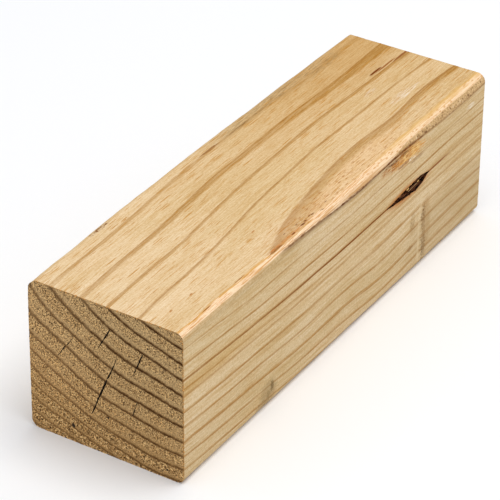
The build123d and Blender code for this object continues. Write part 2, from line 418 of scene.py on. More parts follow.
# Short dark resin dashes on the top beside the strip: middles (along, across) and how large each one is
RESIN_DASHES = [
    ((101, 83.2), 0.7), ((104.2, 86.6), 1.0), ((111.7, 83.6), 0.8), ((113.9, 86.1), 1.5),
    ((117.2, 85.4), 1.1), ((122.4, 84.8), 0.8), ((124.7, 85.2), 1.1), ((131, 86.9), 0.9),
    ((138.3, 84.6), 0.8),
]
RESIN_DASH_REACH = (2.0, 0.45, 1.2)
RESIN_DASH_DOWN = 0.3
RESIN_DASH_RAGGED = 1.6
RESIN_DASH_VARIES = (0.5, 1.6, 1.6)
RESIN_DASH_STRENGTH = 0.90
RESIN_DASH = (0.17, 0.05, 0.008, 1)

# Camera: where it stands and aims, from the middle of the base, with its roll in degrees
CAMERA_PLACE = (-993.24, -608.78, 784.36)
CAMERA_AIM = (0.0, 12.34, 34.63)
CAMERA_ROLL = 0.469
CAMERA_LENS = 190.04
CAMERA_SENSOR = 36.0

# Torn fibres on the upper arris: where they start and end, turns round it in degrees and how deep they sit
ARRIS_FIBRES = (3, 200)
ARRIS_FIBRE_TURNS = (12, 24, 36, 46)
ARRIS_FIBRE_DEPTH = 0.12
ARRIS_FIBRE_STEPS = 60
# Burr of the saw cut: distance from the arrises, from the end and under the face, breadth and steps
BURR_MARGIN = 5.0
BURR_FROM_END = 0.2
BURR_DEPTH = 0.25
BURR_BREADTH = 0.5
BURR_STEPS = 40
# Strewn flakes and fibres: how many for each square millimetre, size, largest turn in radians, and seed
BARK_FLAKES = (0.55, (2.0, 0.5, 0.5), (0.5, 0.3, 0.3), 3)
PEACH_FIBRES = (0.05, (9.0, 0.35, 0.4), (0.6, 0.02, 0.02), 5)
RUST_FIBRES = (0.014, (5.0, 0.22, 0.22), (0.6, 0.02, 0.02), 7)
SAW_BURR = (1.2, (0.9, 0.6, 0.5), (0.8, 0.8, 0.8), 9)

# Stage, in metres: floor, plain surround and one soft light
FLOOR_REACH = 6.0
FLOOR_COLOUR = (0.92, 0.92, 0.92, 1)
SURROUND_COLOUR = (0.96, 0.99, 1.05, 1)
SURROUND_STRENGTH = 0.62
KEY_PLACE = (0.1, -0.60, 2.4)
KEY_AIM = (0, 0, 0.05)
KEY_SIZE = 1.6
KEY_POWER = 37.0
KEY_COLOUR = (1.0, 0.985, 0.955)


def in_frame(stick_points):
    """Points in the shared frame, in metres, from stick points in millimetres."""
    along, across, down = np.asarray(stick_points, float).T
    return np.stack([low[0] + along, high[1] - across, high[2] - down], axis=1) * MM


def in_stick(frame_points):
    """Stick points in millimetres from points in the shared frame."""
    x, y, z = (np.asarray(frame_points, float) / MM).T
    return np.stack([x - low[0], high[1] - y, high[2] - z], axis=1)


def hashed(cells, seed):
    """Random numbers from 0 to 1, one for each whole-number cell."""
    mixed = cells[:, 0] * 374761393 + cells[:, 1] * 668265263 + cells[:, 2] * 1442695041 + seed * 1013904223
    mixed = (mixed ^ (mixed >> 13)) * 1274126177
    return ((mixed ^ (mixed >> 16)) & 0xFFFFFF) / 0xFFFFFF


def smooth_noise(points, pitch, seed):
    """Smooth noise from -1 to 1, with one random value for each cell of the pitch."""
    place = np.asarray(points, float) / np.asarray(pitch, float)
    cell = np.floor(place).astype(np.int64)
    part = place - cell
    part = part * part * (3 - 2 * part)
    total = np.zeros(len(place))
    for corner in itertools.product((0, 1), repeat=3):
        weight = np.prod(np.where(np.array(corner) == 1, part, 1 - part), axis=1)
        total += weight * hashed(cell + np.array(corner), seed)
    return 2 * total - 1


def layered_noise(points, layers, seed=0):
    """Sum of smooth noises, each with its height, pitch and seed."""
    return sum(height * smooth_noise(points, pitch, number + seed) for height, pitch, number in layers)


def eased(value, start, end):
    """Smooth step from 0 at start to 1 at end."""
    share = np.clip((value - start) / (end - start), 0, 1)
    return share * share * (3 - 2 * share)


def running_mean(values):
    """Values with their corners rounded off; both ends stay."""
    padded = np.concatenate([np.full(3, values[0]), values, np.full(3, values[-1])])
    smoothed = np.convolve(padded, np.full(7, 1 / 7), "valid")
    smoothed[0], smoothed[-1] = values[0], values[-1]
    return smoothed


def bell(value, middle, reach):
    """Smooth hump, 1 at the middle."""
    return np.exp(-(((value - middle) / reach) ** 2))


def pith_sag(along):
    """How far the pith has come down towards the stick at each place along it."""
    from_lowest = along - PITH_SAG_AT
    near = PITH_SAG * (1 - (from_lowest / PITH_SAG_AT) ** 2)
    far = PITH_SAG - PITH_LIFT_BY_END * (from_lowest / (LENGTH - PITH_SAG_AT)) ** 2
    return np.where(from_lowest < 0, near, far)


def plain_age(points):
    """Ring number at stick points if every ring were a circle about the pith."""
    along, across, down = points.T
    radius = np.hypot(across - PITH_ACROSS, down - PITH_DOWN - pith_sag(along))
    return np.interp(radius, RING_RADII, FIRST_RING + np.arange(len(RING_RADII)))


def pull(points, centres):
    """Share of each centre's pull that is felt at each point."""
    stretch = np.array([PULL_ALONG_SHARE, 1, 1]) / PULL_REACH
    a, b = points * stretch, centres * stretch
    squared = (a**2).sum(1)[:, None] + (b**2).sum(1)[None, :] - 2 * a @ b.T
    reach = np.clip(np.sqrt(np.clip(squared, 0, None)), 0, 1)
    return (1 - reach) ** 4 * (4 * reach + 1)


def traced_rings():
    """Traced points of the rings on the three faces, and their ring numbers."""
    points, rings = list(ARRIS_INSIDE_RING_0), [ARRIS_AGE] * len(ARRIS_INSIDE_RING_0)
    for ring, places in RINGS_ON_END.items():
        points += [(0, across, down) for across, down in places]
        rings += [ring] * len(places)
    for ring, places in RINGS_ON_TOP.items():
        points += [(along, across, 0) for along, across in places]
        rings += [ring] * len(places)
    for ring, places in RINGS_ON_SIDE.items():
        points += [(along, WIDTH, down) for along, down in places]
        rings += [ring] * len(places)
    return np.array(points, float), np.array(rings, float)


traced_points, traced_numbers = traced_rings()
pull_matrix = pull(traced_points, traced_points) + PULL_EASE * np.eye(len(traced_points))
pull_weights = np.linalg.solve(pull_matrix, traced_numbers - plain_age(traced_points))


def ring_age(points):
    """Ring number at stick points, with a whole number at the outer edge of each ring's latewood."""
    age = plain_age(points)
    for part in np.array_split(np.arange(len(points)), max(1, len(points) // 20000)):
        age[part] += pull(points[part], traced_points) @ pull_weights
    return age


def between(first, second, share):
    """Value between two values."""
    return first + (second - first) * share


def by_ring(age, values):
    """Value at each age from a list with one value for each ring from ring 0 outwards."""
    return np.interp(age, np.arange(len(values)), values)


def far_share(points):
    """How far a point has come from the look of the checked end to that of the far end."""
    return np.clip(points[:, 0] / LENGTH, 0, 1) ** 2


def late_share(points, age):
    """Share of its ring that is latewood, at stick points of the given age."""
    return between(by_ring(age, LATE_SHARES_NEAR), by_ring(age, LATE_SHARES_FAR), far_share(points))


def section_outline():
    """Outline of the section and its outward directions, from the middle of the upper left arris round, as
    four sides of (across, down) points with twice the number of steps that the long faces take."""
    centres = [
        np.array([ARRIS_RADIUS, ARRIS_RADIUS]),
        np.array([WIDTH - ARRIS_RADIUS, ARRIS_RADIUS]),
        np.array([WIDTH - ARRIS_RADIUS, HEIGHT - ARRIS_RADIUS]),
        np.array([ARRIS_RADIUS, HEIGHT - ARRIS_RADIUS]),
    ]
    headings = [np.array(h, float) for h in ((1, 0), (0, 1), (-1, 0), (0, -1))]
    outwards = [np.array(o, float) for o in ((0, -1), (1, 0), (0, 1), (-1, 0))]
    turns = np.linspace(0, math.pi / 4, 2 * ARRIS_STEPS + 1)[:, None]
    sides = []
    for side in range(4):
        start, end = centres[side], centres[(side + 1) % 4]
        heading, outward = headings[side], outwards[side]
        steps = 2 * round(np.abs(end - start).max() / FLAT_STEP)
        rounding_in = outward * np.cos(turns[::-1]) - heading * np.sin(turns[::-1])
        rounding_out = outward * np.cos(turns) + heading * np.sin(turns)
        flat = start + (end - start) * np.linspace(0, 1, steps + 1)[1:-1, None] + outward * ARRIS_RADIUS
        points = np.concatenate([start + rounding_in * ARRIS_RADIUS, flat, end + rounding_out * ARRIS_RADIUS])
        ways = np.concatenate([rounding_in, np.repeat(outward[None], len(flat), 0), rounding_out])
        sides.append((points, ways))
    return sides


def leaned(points, along):
    """Points (across, down) of the section, moved by how far it has dried out of square."""
    across, down = points.T
    near = eased(along, LEAN_WORN_TO, 0)
    lean = LEAN_WORN * near * bell(down, 0, LEAN_WORN_REACH) - LEAN_OUT * down / HEIGHT
    return np.column_stack([across + lean * (1 - across / WIDTH), down])


def worn_sides(sides, along):
    """The four sides of the section with the wear of their arrises at a place along the stick."""
    worn = []
    for points, ways in sides:
        ahead = np.full(len(points), along)
        wear = arris_wear(np.column_stack([ahead, points]), ways)
        worn.append(leaned(points + ways * wear[:, None], along))
    return worn


def cap_points(sides):
    """Grid of points that fills the section's outline, rows from the top down."""
    top, right = sides[0], sides[1]
    bottom, left = sides[2][::-1], sides[3][::-1]
    s = np.linspace(0, 1, len(top))[None, :, None]
    t = np.linspace(0, 1, len(right))[:, None, None]
    edges = (1 - t) * top[None] + t * bottom[None] + (1 - s) * left[:, None] + s * right[:, None]
    corners = (1 - t) * ((1 - s) * top[0] + s * top[-1]) + t * ((1 - s) * bottom[0] + s * bottom[-1])
    return edges - corners


def rim_indices(rows, columns):
    """Indices of a grid's rim, clockwise from its first point."""
    grid = np.arange(rows * columns).reshape(rows, columns)
    return np.concatenate([grid[0, :-1], grid[:-1, -1], grid[-1, :0:-1], grid[:0:-1, 0]])


def grid_quads(rows, columns):
    """Faces of a grid of points."""
    grid = np.arange(rows * columns).reshape(rows, columns)
    return np.stack([grid[:-1, :-1], grid[:-1, 1:], grid[1:, 1:], grid[1:, :-1]], axis=-1).reshape(-1, 4)


def along_stations():
    """Places of the section's rings along the stick, closer at the near end and at the bark pocket."""
    parts = [np.array(NEAR_END_STEPS)]
    for start, end, step in (
        (NEAR_END_STEPS[-1], FINE_FROM, ALONG_STEP),
        (FINE_FROM, FINE_TO, FINE_STEP),
        (FINE_TO, LENGTH, ALONG_STEP),
    ):
        parts.append(np.linspace(start, end, round((end - start) / step) + 1)[1:])
    return np.concatenate(parts)


def end_cap(sides, along, outward, thin=1):
    """Points and outward directions of one end, and its rows and columns."""
    grid = cap_points(worn_sides(sides, along))[::thin, ::thin]
    rows, columns = grid.shape[:2]
    points = np.column_stack([np.full(rows * columns, along), grid.reshape(-1, 2)])
    return points, np.tile([outward, 0.0, 0.0], (rows * columns, 1)), (rows, columns)


def long_rings(sides):
    """Rings of points along the long faces, one for each station, and their outward directions."""
    ways = np.concatenate([side_ways[:-1] for _, side_ways in sides])[::2]
    rings = []
    for along in along_stations():
        ring = np.concatenate([side[:-1] for side in worn_sides(sides, along)])[::2]
        rings.append(np.column_stack([np.full(len(ring), along), ring]))
    return rings, np.tile(np.column_stack([np.zeros(len(ways)), ways]), (len(rings), 1))


def ring_faces(first, stations, count):
    """Faces between rings of points that follow one another."""
    step = np.arange(count)
    after = (step + 1) % count
    faces = []
    for station in range(stations - 1):
        here = first + station * count
        there = here + count
        faces += np.stack([here + step, here + after, there + after, there + step], 1).tolist()
    return faces


def near_rim_faces(rim, first, count):
    """Faces between the fine rim of the near end and the first ring of the long faces."""
    step = np.arange(count)
    a, b = first + step, first + (step + 1) % count
    start, middle, end = rim[2 * step], rim[2 * step + 1], rim[(2 * step + 2) % (2 * count)]
    fans = [np.stack(corners, 1) for corners in ((start, middle, a), (middle, b, a), (middle, end, b))]
    return np.concatenate(fans).tolist()


def stick_surface():
    """Points, outward directions and faces of the whole stick before any hollow is cut."""
    sides = section_outline()
    near_points, near_ways, near_size = end_cap(sides, 0.0, -1.0)
    rings, long_ways = long_rings(sides)
    far_points, far_ways, far_size = end_cap(sides, LENGTH, 1.0, 2)
    points = np.concatenate([near_points, *rings, far_points])
    outward = np.concatenate([near_ways, long_ways, far_ways])
    count = len(rings[0])
    first_long = len(near_points)
    first_far = first_long + count * len(rings)
    faces = [face[::-1].tolist() for face in grid_quads(*near_size)]
    faces += (first_far + grid_quads(*far_size)).tolist()
    faces += near_rim_faces(rim_indices(*near_size), first_long, count)
    faces += ring_faces(first_long, len(rings), count)
    # The last ring is the rim of the far end, so those points are joined
    join = np.arange(len(points))
    join[first_far - count : first_far] = first_far + rim_indices(*far_size)
    return points, outward, [[int(join[corner]) for corner in face] for face in faces]


def end_relief(points, late):
    """Saw-cut end: latewood stands proud, earlywood is torn and pitted."""
    cells = np.round(points * 40).astype(np.int64)
    chance = hashed(cells, 6)
    torn = 1 - late
    rough = layered_noise(points, END_ROUGHNESS)
    pits = -END_PIT_DEPTH * torn * (chance > END_PIT_CHANCE) * smooth_noise(points, 9.0, 7).clip(0, 1)
    tufts = TUFT_HEIGHT * torn * (chance < TUFT_CHANCE)
    return rough * (0.4 + 0.6 * torn) - END_EARLY_DEPTH * torn + pits + tufts - END_SET_BACK


def face_relief(points, late):
    """Planed faces: raised latewood, a scar and torn grain above the bark pocket."""
    along, across, down = points.T
    on_side = across > WIDTH - 0.01
    wave = FACE_WAVE_HEIGHT * smooth_noise(points, (40, 14, 14), 1)
    planed = FACE_LATE_HEIGHT * late + wave - FACE_SET_BACK
    scar_at = SCAR_AT + SCAR_WANDER * smooth_noise(points, (50, 50, 6), 8)
    ends = eased(down, *SCAR_ENDS)
    scar = -SCAR_DEPTH * bell(along, scar_at, SCAR_REACH) * eased(down, *SCAR_STARTS) * ends
    lip = LIP_HEIGHT * bell(along, LIP_AT, LIP_REACH) * eased(down, *LIP_STARTS) * ends
    torn = bell(along, TORN_GRAIN_ALONG, TORN_GRAIN_LENGTH) * bell(down, TORN_GRAIN_DOWN, TORN_GRAIN_REACH)
    tearing = torn * (TORN_GRAIN_HEIGHT * smooth_noise(points, (5, 1.6, 1.6), 9) - TORN_GRAIN_DEPTH)
    return planed + np.where(on_side, scar + lip + tearing, 0)


def arris_wear(points, outward):
    """Unevenness of the eased arrises; the upper far one is eased more towards both ends."""
    along = points[:, 0]
    rounded = 2 * np.abs(outward[:, 0] * outward[:, 1])
    uneven = layered_noise(points, ARRIS_ROUGHNESS) - ARRIS_SET_BACK
    far_upper = (outward[:, 0] < -0.05) & (outward[:, 1] < -0.05)
    bow = ARRIS_BOW - ARRIS_BOW_FALL * ((along - ARRIS_BOW_AT) / ARRIS_BOW_REACH) ** 2
    return rounded * (uneven + np.where(far_upper, bow, 0))


def relief(points, outward):
    """How far the finished surface stands out from the plain one, in millimetres."""
    age = ring_age(points)
    part = age - np.floor(age)
    late = eased(part, 1 - late_share(points, age), 1)
    on_end = np.abs(outward[:, 0]) > 0.5
    return np.where(on_end, end_relief(points, late), face_relief(points, late))


def new_mesh(name, points, faces, materials=(), index=0):
    """Mesh object in the shared frame from stick points, with all faces outwards."""
    mesh = bpy.data.meshes.new(name)
    mesh.from_pydata(in_frame(points).tolist(), [], faces)
    work = bmesh.new()
    work.from_mesh(mesh)
    bmesh.ops.recalc_face_normals(work, faces=work.faces)
    work.to_mesh(mesh)
    work.free()
    for material in materials:
        mesh.materials.append(material)
    mesh.polygons.foreach_set("material_index", np.full(len(mesh.polygons), index, dtype=np.int32))
    piece = bpy.data.objects.new(name, mesh)
    bpy.context.scene.collection.objects.link(piece)
    return piece


def tube_faces(stations, count):
    """Faces of a closed tube of rings with flat ends."""
    ends = [list(range(count))[::-1], [(stations - 1) * count + i for i in range(count)]]
    return ends + ring_faces(0, stations, count)


def check_cutter(check, seed):
    """Closed wedge that opens one drying check: half as deep as it is long, and closing inwards."""
    first, last = np.array(check["first"]), np.array(check["last"])
    length = np.linalg.norm(last - first)
    heading = (last - first) / length
    sideways = np.array([-heading[1], heading[0]])
    share = np.linspace(0.004, 0.996, max(8, round(length / CHECK_STEP)))
    spread = np.sqrt(1 - (2 * share - 1) ** 2)
    line = np.column_stack([share * length, np.full_like(share, 7.0 * seed), np.zeros_like(share)])
    wander = layered_noise(line, CHECK_WANDER, seed)
    pinch = 1 - CHECK_PINCH * bell(share * length, check["pinch_share"] * length, CHECK_PINCH_REACH)
    uneven = 1 + CHECK_UNEVEN * smooth_noise(line, 1.5, 13 + seed)
    width = check["gape"] / 2 * spread * pinch * uneven
    depth = 0.5 * length * spread + 0.2
    middle = first + share[:, None] * length * heading + wander[:, None] * sideways
    rings = []
    out = -END_CUTTER_LIFT
    for lift, half in ((out, width), (out, -width), (depth, -CHECK_TIP), (depth, CHECK_TIP)):
        flat = middle + sideways * np.broadcast_to(half, share.shape)[:, None]
        rings.append(np.column_stack([np.broadcast_to(lift, share.shape), flat]))
    points = np.stack(rings, axis=1).reshape(-1, 3)
    return points, tube_faces(len(share), 4)


def pit_cutter(middle, radius, seed):
    """Closed ragged cone that opens one small pit in the near end."""
    turns = np.linspace(0, 2 * math.pi, PIT_SIDES + 1)[:-1]
    line = np.column_stack([np.cos(turns), np.sin(turns), np.full(PIT_SIDES, 5.0 * seed)])
    ragged = radius * (1 + 0.45 * smooth_noise(line, 0.8, 41 + seed))
    rings = []
    for along, share in ((-END_CUTTER_LIFT, 1.0), (0.25, 1.0), (PIT_DEPTH, 0.25)):
        flat = np.array(middle) + share * ragged[:, None] * line[:, :2]
        rings.append(np.column_stack([np.full(PIT_SIDES, along), flat]))
    return np.concatenate(rings), tube_faces(len(rings), PIT_SIDES)


def crack_cutter():
    """Thin ragged crack under the upper arris, along the edge of the innermost ring."""
    trace = np.array(ARRIS_CRACK, float)
    along = np.arange(trace[0, 0], trace[-1, 0], ARRIS_CRACK_STEP)
    line = np.column_stack([along, np.zeros_like(along), np.zeros_like(along)])
    down = np.interp(along, trace[:, 0], trace[:, 1]) + 0.15 * smooth_noise(line, 9.0, 31)
    ends = eased(along, along[0], along[0] + 12) * eased(along, along[-1], along[-1] - 15)
    half = ARRIS_CRACK_WIDTH / 2 * (0.12 + 0.88 * ends * (0.55 + 0.45 * smooth_noise(line, 4.0, 32)))
    from_round = np.clip(ARRIS_RADIUS - down, 0, None)
    surface = WIDTH - (ARRIS_RADIUS - np.sqrt(ARRIS_RADIUS**2 - from_round**2))
    floor = surface - ARRIS_CRACK_DEPTH * (0.2 + 0.8 * ends)
    rings = []
    lifted = WIDTH + CUTTER_LIFT
    tip = ARRIS_CRACK_TIP
    for across, offset in ((lifted, half), (lifted, -half), (floor, -tip), (floor, tip)):
        rings.append(np.column_stack([along, np.broadcast_to(across, along.shape), down + offset]))
    points = np.stack(rings, axis=1).reshape(-1, 3)
    return points, tube_faces(len(along), 4)


def pocket_rows():
    """Rows of points down into the bark pocket, from its upper outline round to its lower one."""
    upper, lower = np.array(POCKET_UPPER), np.array(POCKET_LOWER)
    along = np.linspace(upper[0, 0] + 0.1, upper[-1, 0] - 0.1, POCKET_STEPS)
    top_edge, low_edge = (running_mean(np.interp(along, *edge.T)) for edge in (upper, lower))
    middle, half = (top_edge + low_edge) / 2, (low_edge - top_edge) / 2
    rows = []
    for number, angle in enumerate(np.linspace(0, math.pi, POCKET_ROWS)):
        line = np.column_stack([along, np.full(len(along), 9.0 * number), middle])
        coarse, fine = smooth_noise(line, (3.0, 20, 20), 21), smooth_noise(line, (1.2, 9, 9), 22)
        ragged = 1 + POCKET_RAGGED * coarse + POCKET_RAGGED * fine
        deep = POCKET_DEPTH * np.clip(half / half.max(), 0.04, 1) * ragged
        down = middle - half * ragged * math.cos(angle)
        rows.append(np.column_stack([along, WIDTH - deep * math.sin(angle), down]))
    return rows


def pocket_cutter():
    """Closed hollow of the bark pocket, half in the side."""
    rows = pocket_rows()
    for row in (rows[-1], rows[0]):
        lifted = row.copy()
        lifted[:, 1] = WIDTH + CUTTER_LIFT
        rows.append(lifted)
    points = np.stack(rows, axis=1).reshape(-1, 3)
    return points, tube_faces(len(rows[0]), len(rows))


def carve(stick, cutters):
    """Cuts the hollows into the stick, with the cutters' materials on their walls."""
    for cutter in cutters:
        cut = stick.modifiers.new("hollow", "BOOLEAN")
        cut.operation = "DIFFERENCE"
        cut.solver = "MANIFOLD"
        cut.object = cutter
    bpy.context.view_layer.update()
    ready = stick.evaluated_get(bpy.context.evaluated_depsgraph_get())
    mesh = bpy.data.meshes.new_from_object(ready)
    stick.modifiers.clear()
    stick.data = mesh
    for cutter in cutters:
        bpy.data.objects.remove(cutter)


def store(mesh, name, values):
    """Keeps one vector for each vertex as a named attribute."""
    attribute = mesh.attributes.new(name, "FLOAT_VECTOR", "POINT")
    attribute.data.foreach_set("vector", np.asarray(values, dtype=np.float32).ravel())


def store_grain(mesh):
    """Stores the wood's directions, along the grain, round the tree and outwards, and each ring's look."""
    frame_points = np.empty(len(mesh.vertices) * 3)
    mesh.vertices.foreach_get("co", frame_points)
    points = in_stick(frame_points.reshape(-1, 3))
    along, across, down = points.T
    age = ring_age(points)
    turn = np.arctan2(PITH_ACROSS - across, down - PITH_DOWN)
    round_tree = turn * RING_RADII[len(RING_RADII) // 2]
    store(mesh, "grain", np.column_stack([along, round_tree, age * RING_PITCH]))
    on_side = eased(across, WIDTH - 3, WIDTH - 1)
    at_dark_ring = bell(age, DARK_RING, DARK_RING_REACH)
    faded = eased(along, *DARK_RING_FADES)
    tone = between(by_ring(age, RING_TONES_NEAR), by_ring(age, RING_TONES_FAR), far_share(points))
    side_tone = by_ring(age, RING_TONES_ON_SIDE) * (1 - 0.6 * (at_dark_ring * faded))
    faint = 0.85 * faded + 0.65 * (1 - eased(along, *DARK_RING_STARTS))
    side_edge = by_ring(age, RING_EDGES_ON_SIDE) * (1 - at_dark_ring * faint)
    edge = between(by_ring(age, RING_EDGES), side_edge, on_side)
    look = [late_share(points, age), between(tone, side_tone, on_side), edge]
    store(mesh, "ring_look", np.column_stack(look))


class Graph:
    """Short calls for building one node tree."""

    def __init__(self, tree):
        self.tree = tree

    def node(self, kind, inputs=None, **settings):
        """New node with its settings, and its inputs set or linked by name or number."""
        made = self.tree.nodes.new(kind)
        for name, value in settings.items():
            setattr(made, name, value)
        for key, value in (inputs or {}).items():
            self.feed(made.inputs[key], value)
        return made

    def feed(self, socket, value):
        """Links a socket to another one, or sets its value."""
        if isinstance(value, bpy.types.NodeSocket):
            self.tree.links.new(value, socket)
        else:
            socket.default_value = value

    def group(self, tree, inputs):
        """Outputs of a node group with its inputs set or linked."""
        made = self.node("ShaderNodeGroup", node_tree=tree)
        for key, value in inputs.items():
            self.feed(made.inputs[key], value)
        return made.outputs

    def math(self, operation, *values):
        """Result of a sum on numbers or sockets."""
        return self.node("ShaderNodeMath", dict(enumerate(values)), operation=operation).outputs[0]

    def vector(self, operation, *values):
        """Result of a sum on vectors."""
        return self.node("ShaderNodeVectorMath", dict(enumerate(values)), operation=operation).outputs[0]

    def parts(self, vector):
        """The three numbers of a vector."""
        return self.node("ShaderNodeSeparateXYZ", {0: vector}).outputs

    def times(self, *values):
        """Product of several values."""
        product = values[0]
        for value in values[1:]:
            product = self.math("MULTIPLY", product, value)
        return product

    def away(self, value, middle):
        """Distance of a value from a middle."""
        return self.math("ABSOLUTE", self.math("SUBTRACT", value, middle))

    def mix(self, share, first, second, blend="MIX"):
        """Colour between two colours."""
        inputs = {0: share, 6: first, 7: second}
        return self.node("ShaderNodeMix", inputs, data_type="RGBA", blend_type=blend).outputs[2]

    def step(self, value, start, end, first=0.0, last=1.0):
        """Smooth step of a value from start to end, from the first result to the last."""
        inputs = {"Value": value, "From Min": start, "From Max": end, "To Min": first, "To Max": last}
        return self.node("ShaderNodeMapRange", inputs, interpolation_type="SMOOTHSTEP").outputs[0]

    def band(self, value, start, full, still_full, end):
        """Smooth band of a value: 1 from full to still_full, 0 beyond start and end."""
        return self.times(self.step(value, start, full), self.step(value, end, still_full))

    def noise(self, place, stretch, detail=2.0, roughness=0.5):
        """Noise from 0 to 1 at a place stretched along each axis."""
        stretched = self.vector("MULTIPLY", place, stretch)
        inputs = {"Vector": stretched, "Scale": 1.0, "Detail": detail, "Roughness": roughness}
        return self.node("ShaderNodeTexNoise", inputs).outputs[0]

    def cells(self, place, scale):
        """Distance to the middle of the nearest random cell, and three random numbers for that cell."""
        inputs = {"Vector": place, "Scale": scale, "Randomness": 1.0}
        made = self.node("ShaderNodeTexVoronoi", inputs, feature="F1").outputs
        return made["Distance"], self.node("ShaderNodeSeparateColor", {0: made["Color"]}).outputs

    def attribute(self, name):
        """Vector of a stored attribute."""
        return self.node("ShaderNodeAttribute", attribute_name=name).outputs["Vector"]

    def stick_place(self):
        """Along, across and down in millimetres, from the object's own coordinates."""
        local = self.node("ShaderNodeTexCoord").outputs["Object"]
        per_metre, start = (1 / MM, -1 / MM, -1 / MM), (-low[0], high[1], high[2])
        return self.vector("MULTIPLY_ADD", local, per_metre, start)


class Coat:
    """Colour of one material, laid on layer by layer, with the measures that its layers share."""

    def __init__(self, graph, groups):
        self.graph = graph
        self.groups = groups
        self.place = graph.stick_place()
        self.along, self.across, self.down = graph.parts(self.place)
        self.colour = None

    def lay(self, tint, *shares, blend="MIX"):
        """Lays a colour over what is there, as far as the product of all shares says."""
        self.colour = self.graph.mix(self.graph.times(*shares), self.colour, tint, blend)

    def stain(self, tint, *shares):
        """Multiplies what is there by a colour, as far as the product of all shares says."""
        self.lay(tint, *shares, blend="MULTIPLY")


NUMBER, VECTOR = "NodeSocketFloat", "NodeSocketVector"


def new_group(name, vectors, numbers, outputs):
    """Empty shader group with its sockets; returns the graph, its given values and a call that ends it."""
    tree = bpy.data.node_groups.new(name, "ShaderNodeTree")
    for kind, labels in ((VECTOR, vectors), (NUMBER, numbers)):
        for label in labels:
            tree.interface.new_socket(label, in_out="INPUT", socket_type=kind)
    for label in outputs:
        tree.interface.new_socket(label, in_out="OUTPUT", socket_type=NUMBER)
    graph = Graph(tree)
    given = graph.node("NodeGroupInput").outputs
    out = graph.node("NodeGroupOutput")

    def finish(**results):
        for label, value in results.items():
            graph.feed(out.inputs[label], value)
        return tree

    return graph, given, finish


def growth_ring_group():
    """Latewood of each growth ring, its dark outer edge, and how far through its year the wood is."""
    numbers = ["Late_Share", "Onset", "Edge_Share", "Waver", "Fade"]
    graph, given, finish = new_group("growth rings", ["Grain"], numbers, ["Late", "Edge", "Part", "Age"])
    grain = given["Grain"]
    waver = graph.math("SUBTRACT", graph.noise(grain, (0.02, 0.35, 0.12), 3.0), 0.5)
    radial = graph.math("MULTIPLY_ADD", waver, given["Waver"], graph.parts(grain)["Z"])
    age = graph.math("DIVIDE", radial, RING_PITCH)
    part = graph.math("FRACT", age)
    share = given["Late_Share"]
    just_past = graph.step(part, given["Fade"], 0.0)
    rise_start = graph.math("SUBTRACT", 1.0, share)
    rise_end = graph.math("MULTIPLY_ADD", share, given["Onset"], rise_start)
    late = graph.math("MAXIMUM", graph.step(part, rise_start, rise_end), just_past)
    edge_width = graph.math("MULTIPLY", graph.math("MINIMUM", share, 0.3), given["Edge_Share"])
    edge_start = graph.math("SUBTRACT", 0.98, edge_width)
    edge = graph.math("MAXIMUM", graph.step(part, edge_start, 0.985), just_past)
    return finish(Late=late, Edge=edge, Part=part, Age=age)


def fibre_group():
    """Fine fibres, longer threads, broader streaks and clouds that run with the grain, from 0 to 1."""
    graph, given, finish = new_group("wood fibre", ["Grain"], [], ["Fine", "Thread", "Broad", "Cloud"])
    grain = given["Grain"]
    return finish(
        Fine=graph.noise(grain, (0.08, 1.5, 1.5), 4.0, 0.65),
        Thread=graph.noise(grain, (0.02, 0.75, 0.75), 3.0, 0.6),
        Broad=graph.noise(grain, (0.014, 0.30, 0.30), 3.0, 0.6),
        Cloud=graph.noise(grain, (0.012, 0.04, 0.04), 2.0, 0.5),
    )


def canal_group():
    """Resin canals: thin short rods along the grain, 1 where the surface cuts one."""
    graph, given, finish = new_group("resin canals", ["Grain", "Cells"], ["Thickness", "Keep"], ["Canal"])
    distance, chance = graph.cells(graph.vector("MULTIPLY", given["Grain"], given["Cells"]), 1.0)
    thickness = given["Thickness"]
    rod = graph.step(distance, thickness, graph.math("MULTIPLY", thickness, 0.5))
    kept = graph.math("LESS_THAN", chance[0], given["Keep"])
    return finish(Canal=graph.math("MULTIPLY", rod, kept))


def mark_group():
    """Ragged patch about a middle, 1 inside and 0 beyond its reach, broken up by streaks if asked."""
    vectors = ["Place", "Middle", "Reach", "Pitch"]
    graph, given, finish = new_group("surface mark", vectors, ["Ragged", "Broken"], ["Mask"])
    place, pitch = given["Place"], given["Pitch"]
    share = graph.vector("DIVIDE", graph.vector("SUBTRACT", place, given["Middle"]), given["Reach"])
    distance = graph.node("ShaderNodeVectorMath", {0: share}, operation="LENGTH").outputs["Value"]
    rough = graph.noise(place, pitch, 3.0, 0.65)
    swing = graph.math("MULTIPLY", graph.math("SUBTRACT", rough, 0.5), given["Ragged"])
    patch = graph.step(graph.math("ADD", distance, swing), 1.0, 0.5)
    elsewhere = graph.vector("ADD", place, (37, 11, 5))
    streak = graph.step(graph.noise(elsewhere, pitch, 3.0, 0.7), 0.46, 0.60)
    gaps = graph.math("MULTIPLY", graph.math("SUBTRACT", 1.0, streak), given["Broken"])
    return finish(Mask=graph.math("MULTIPLY", patch, graph.math("SUBTRACT", 1.0, gaps)))


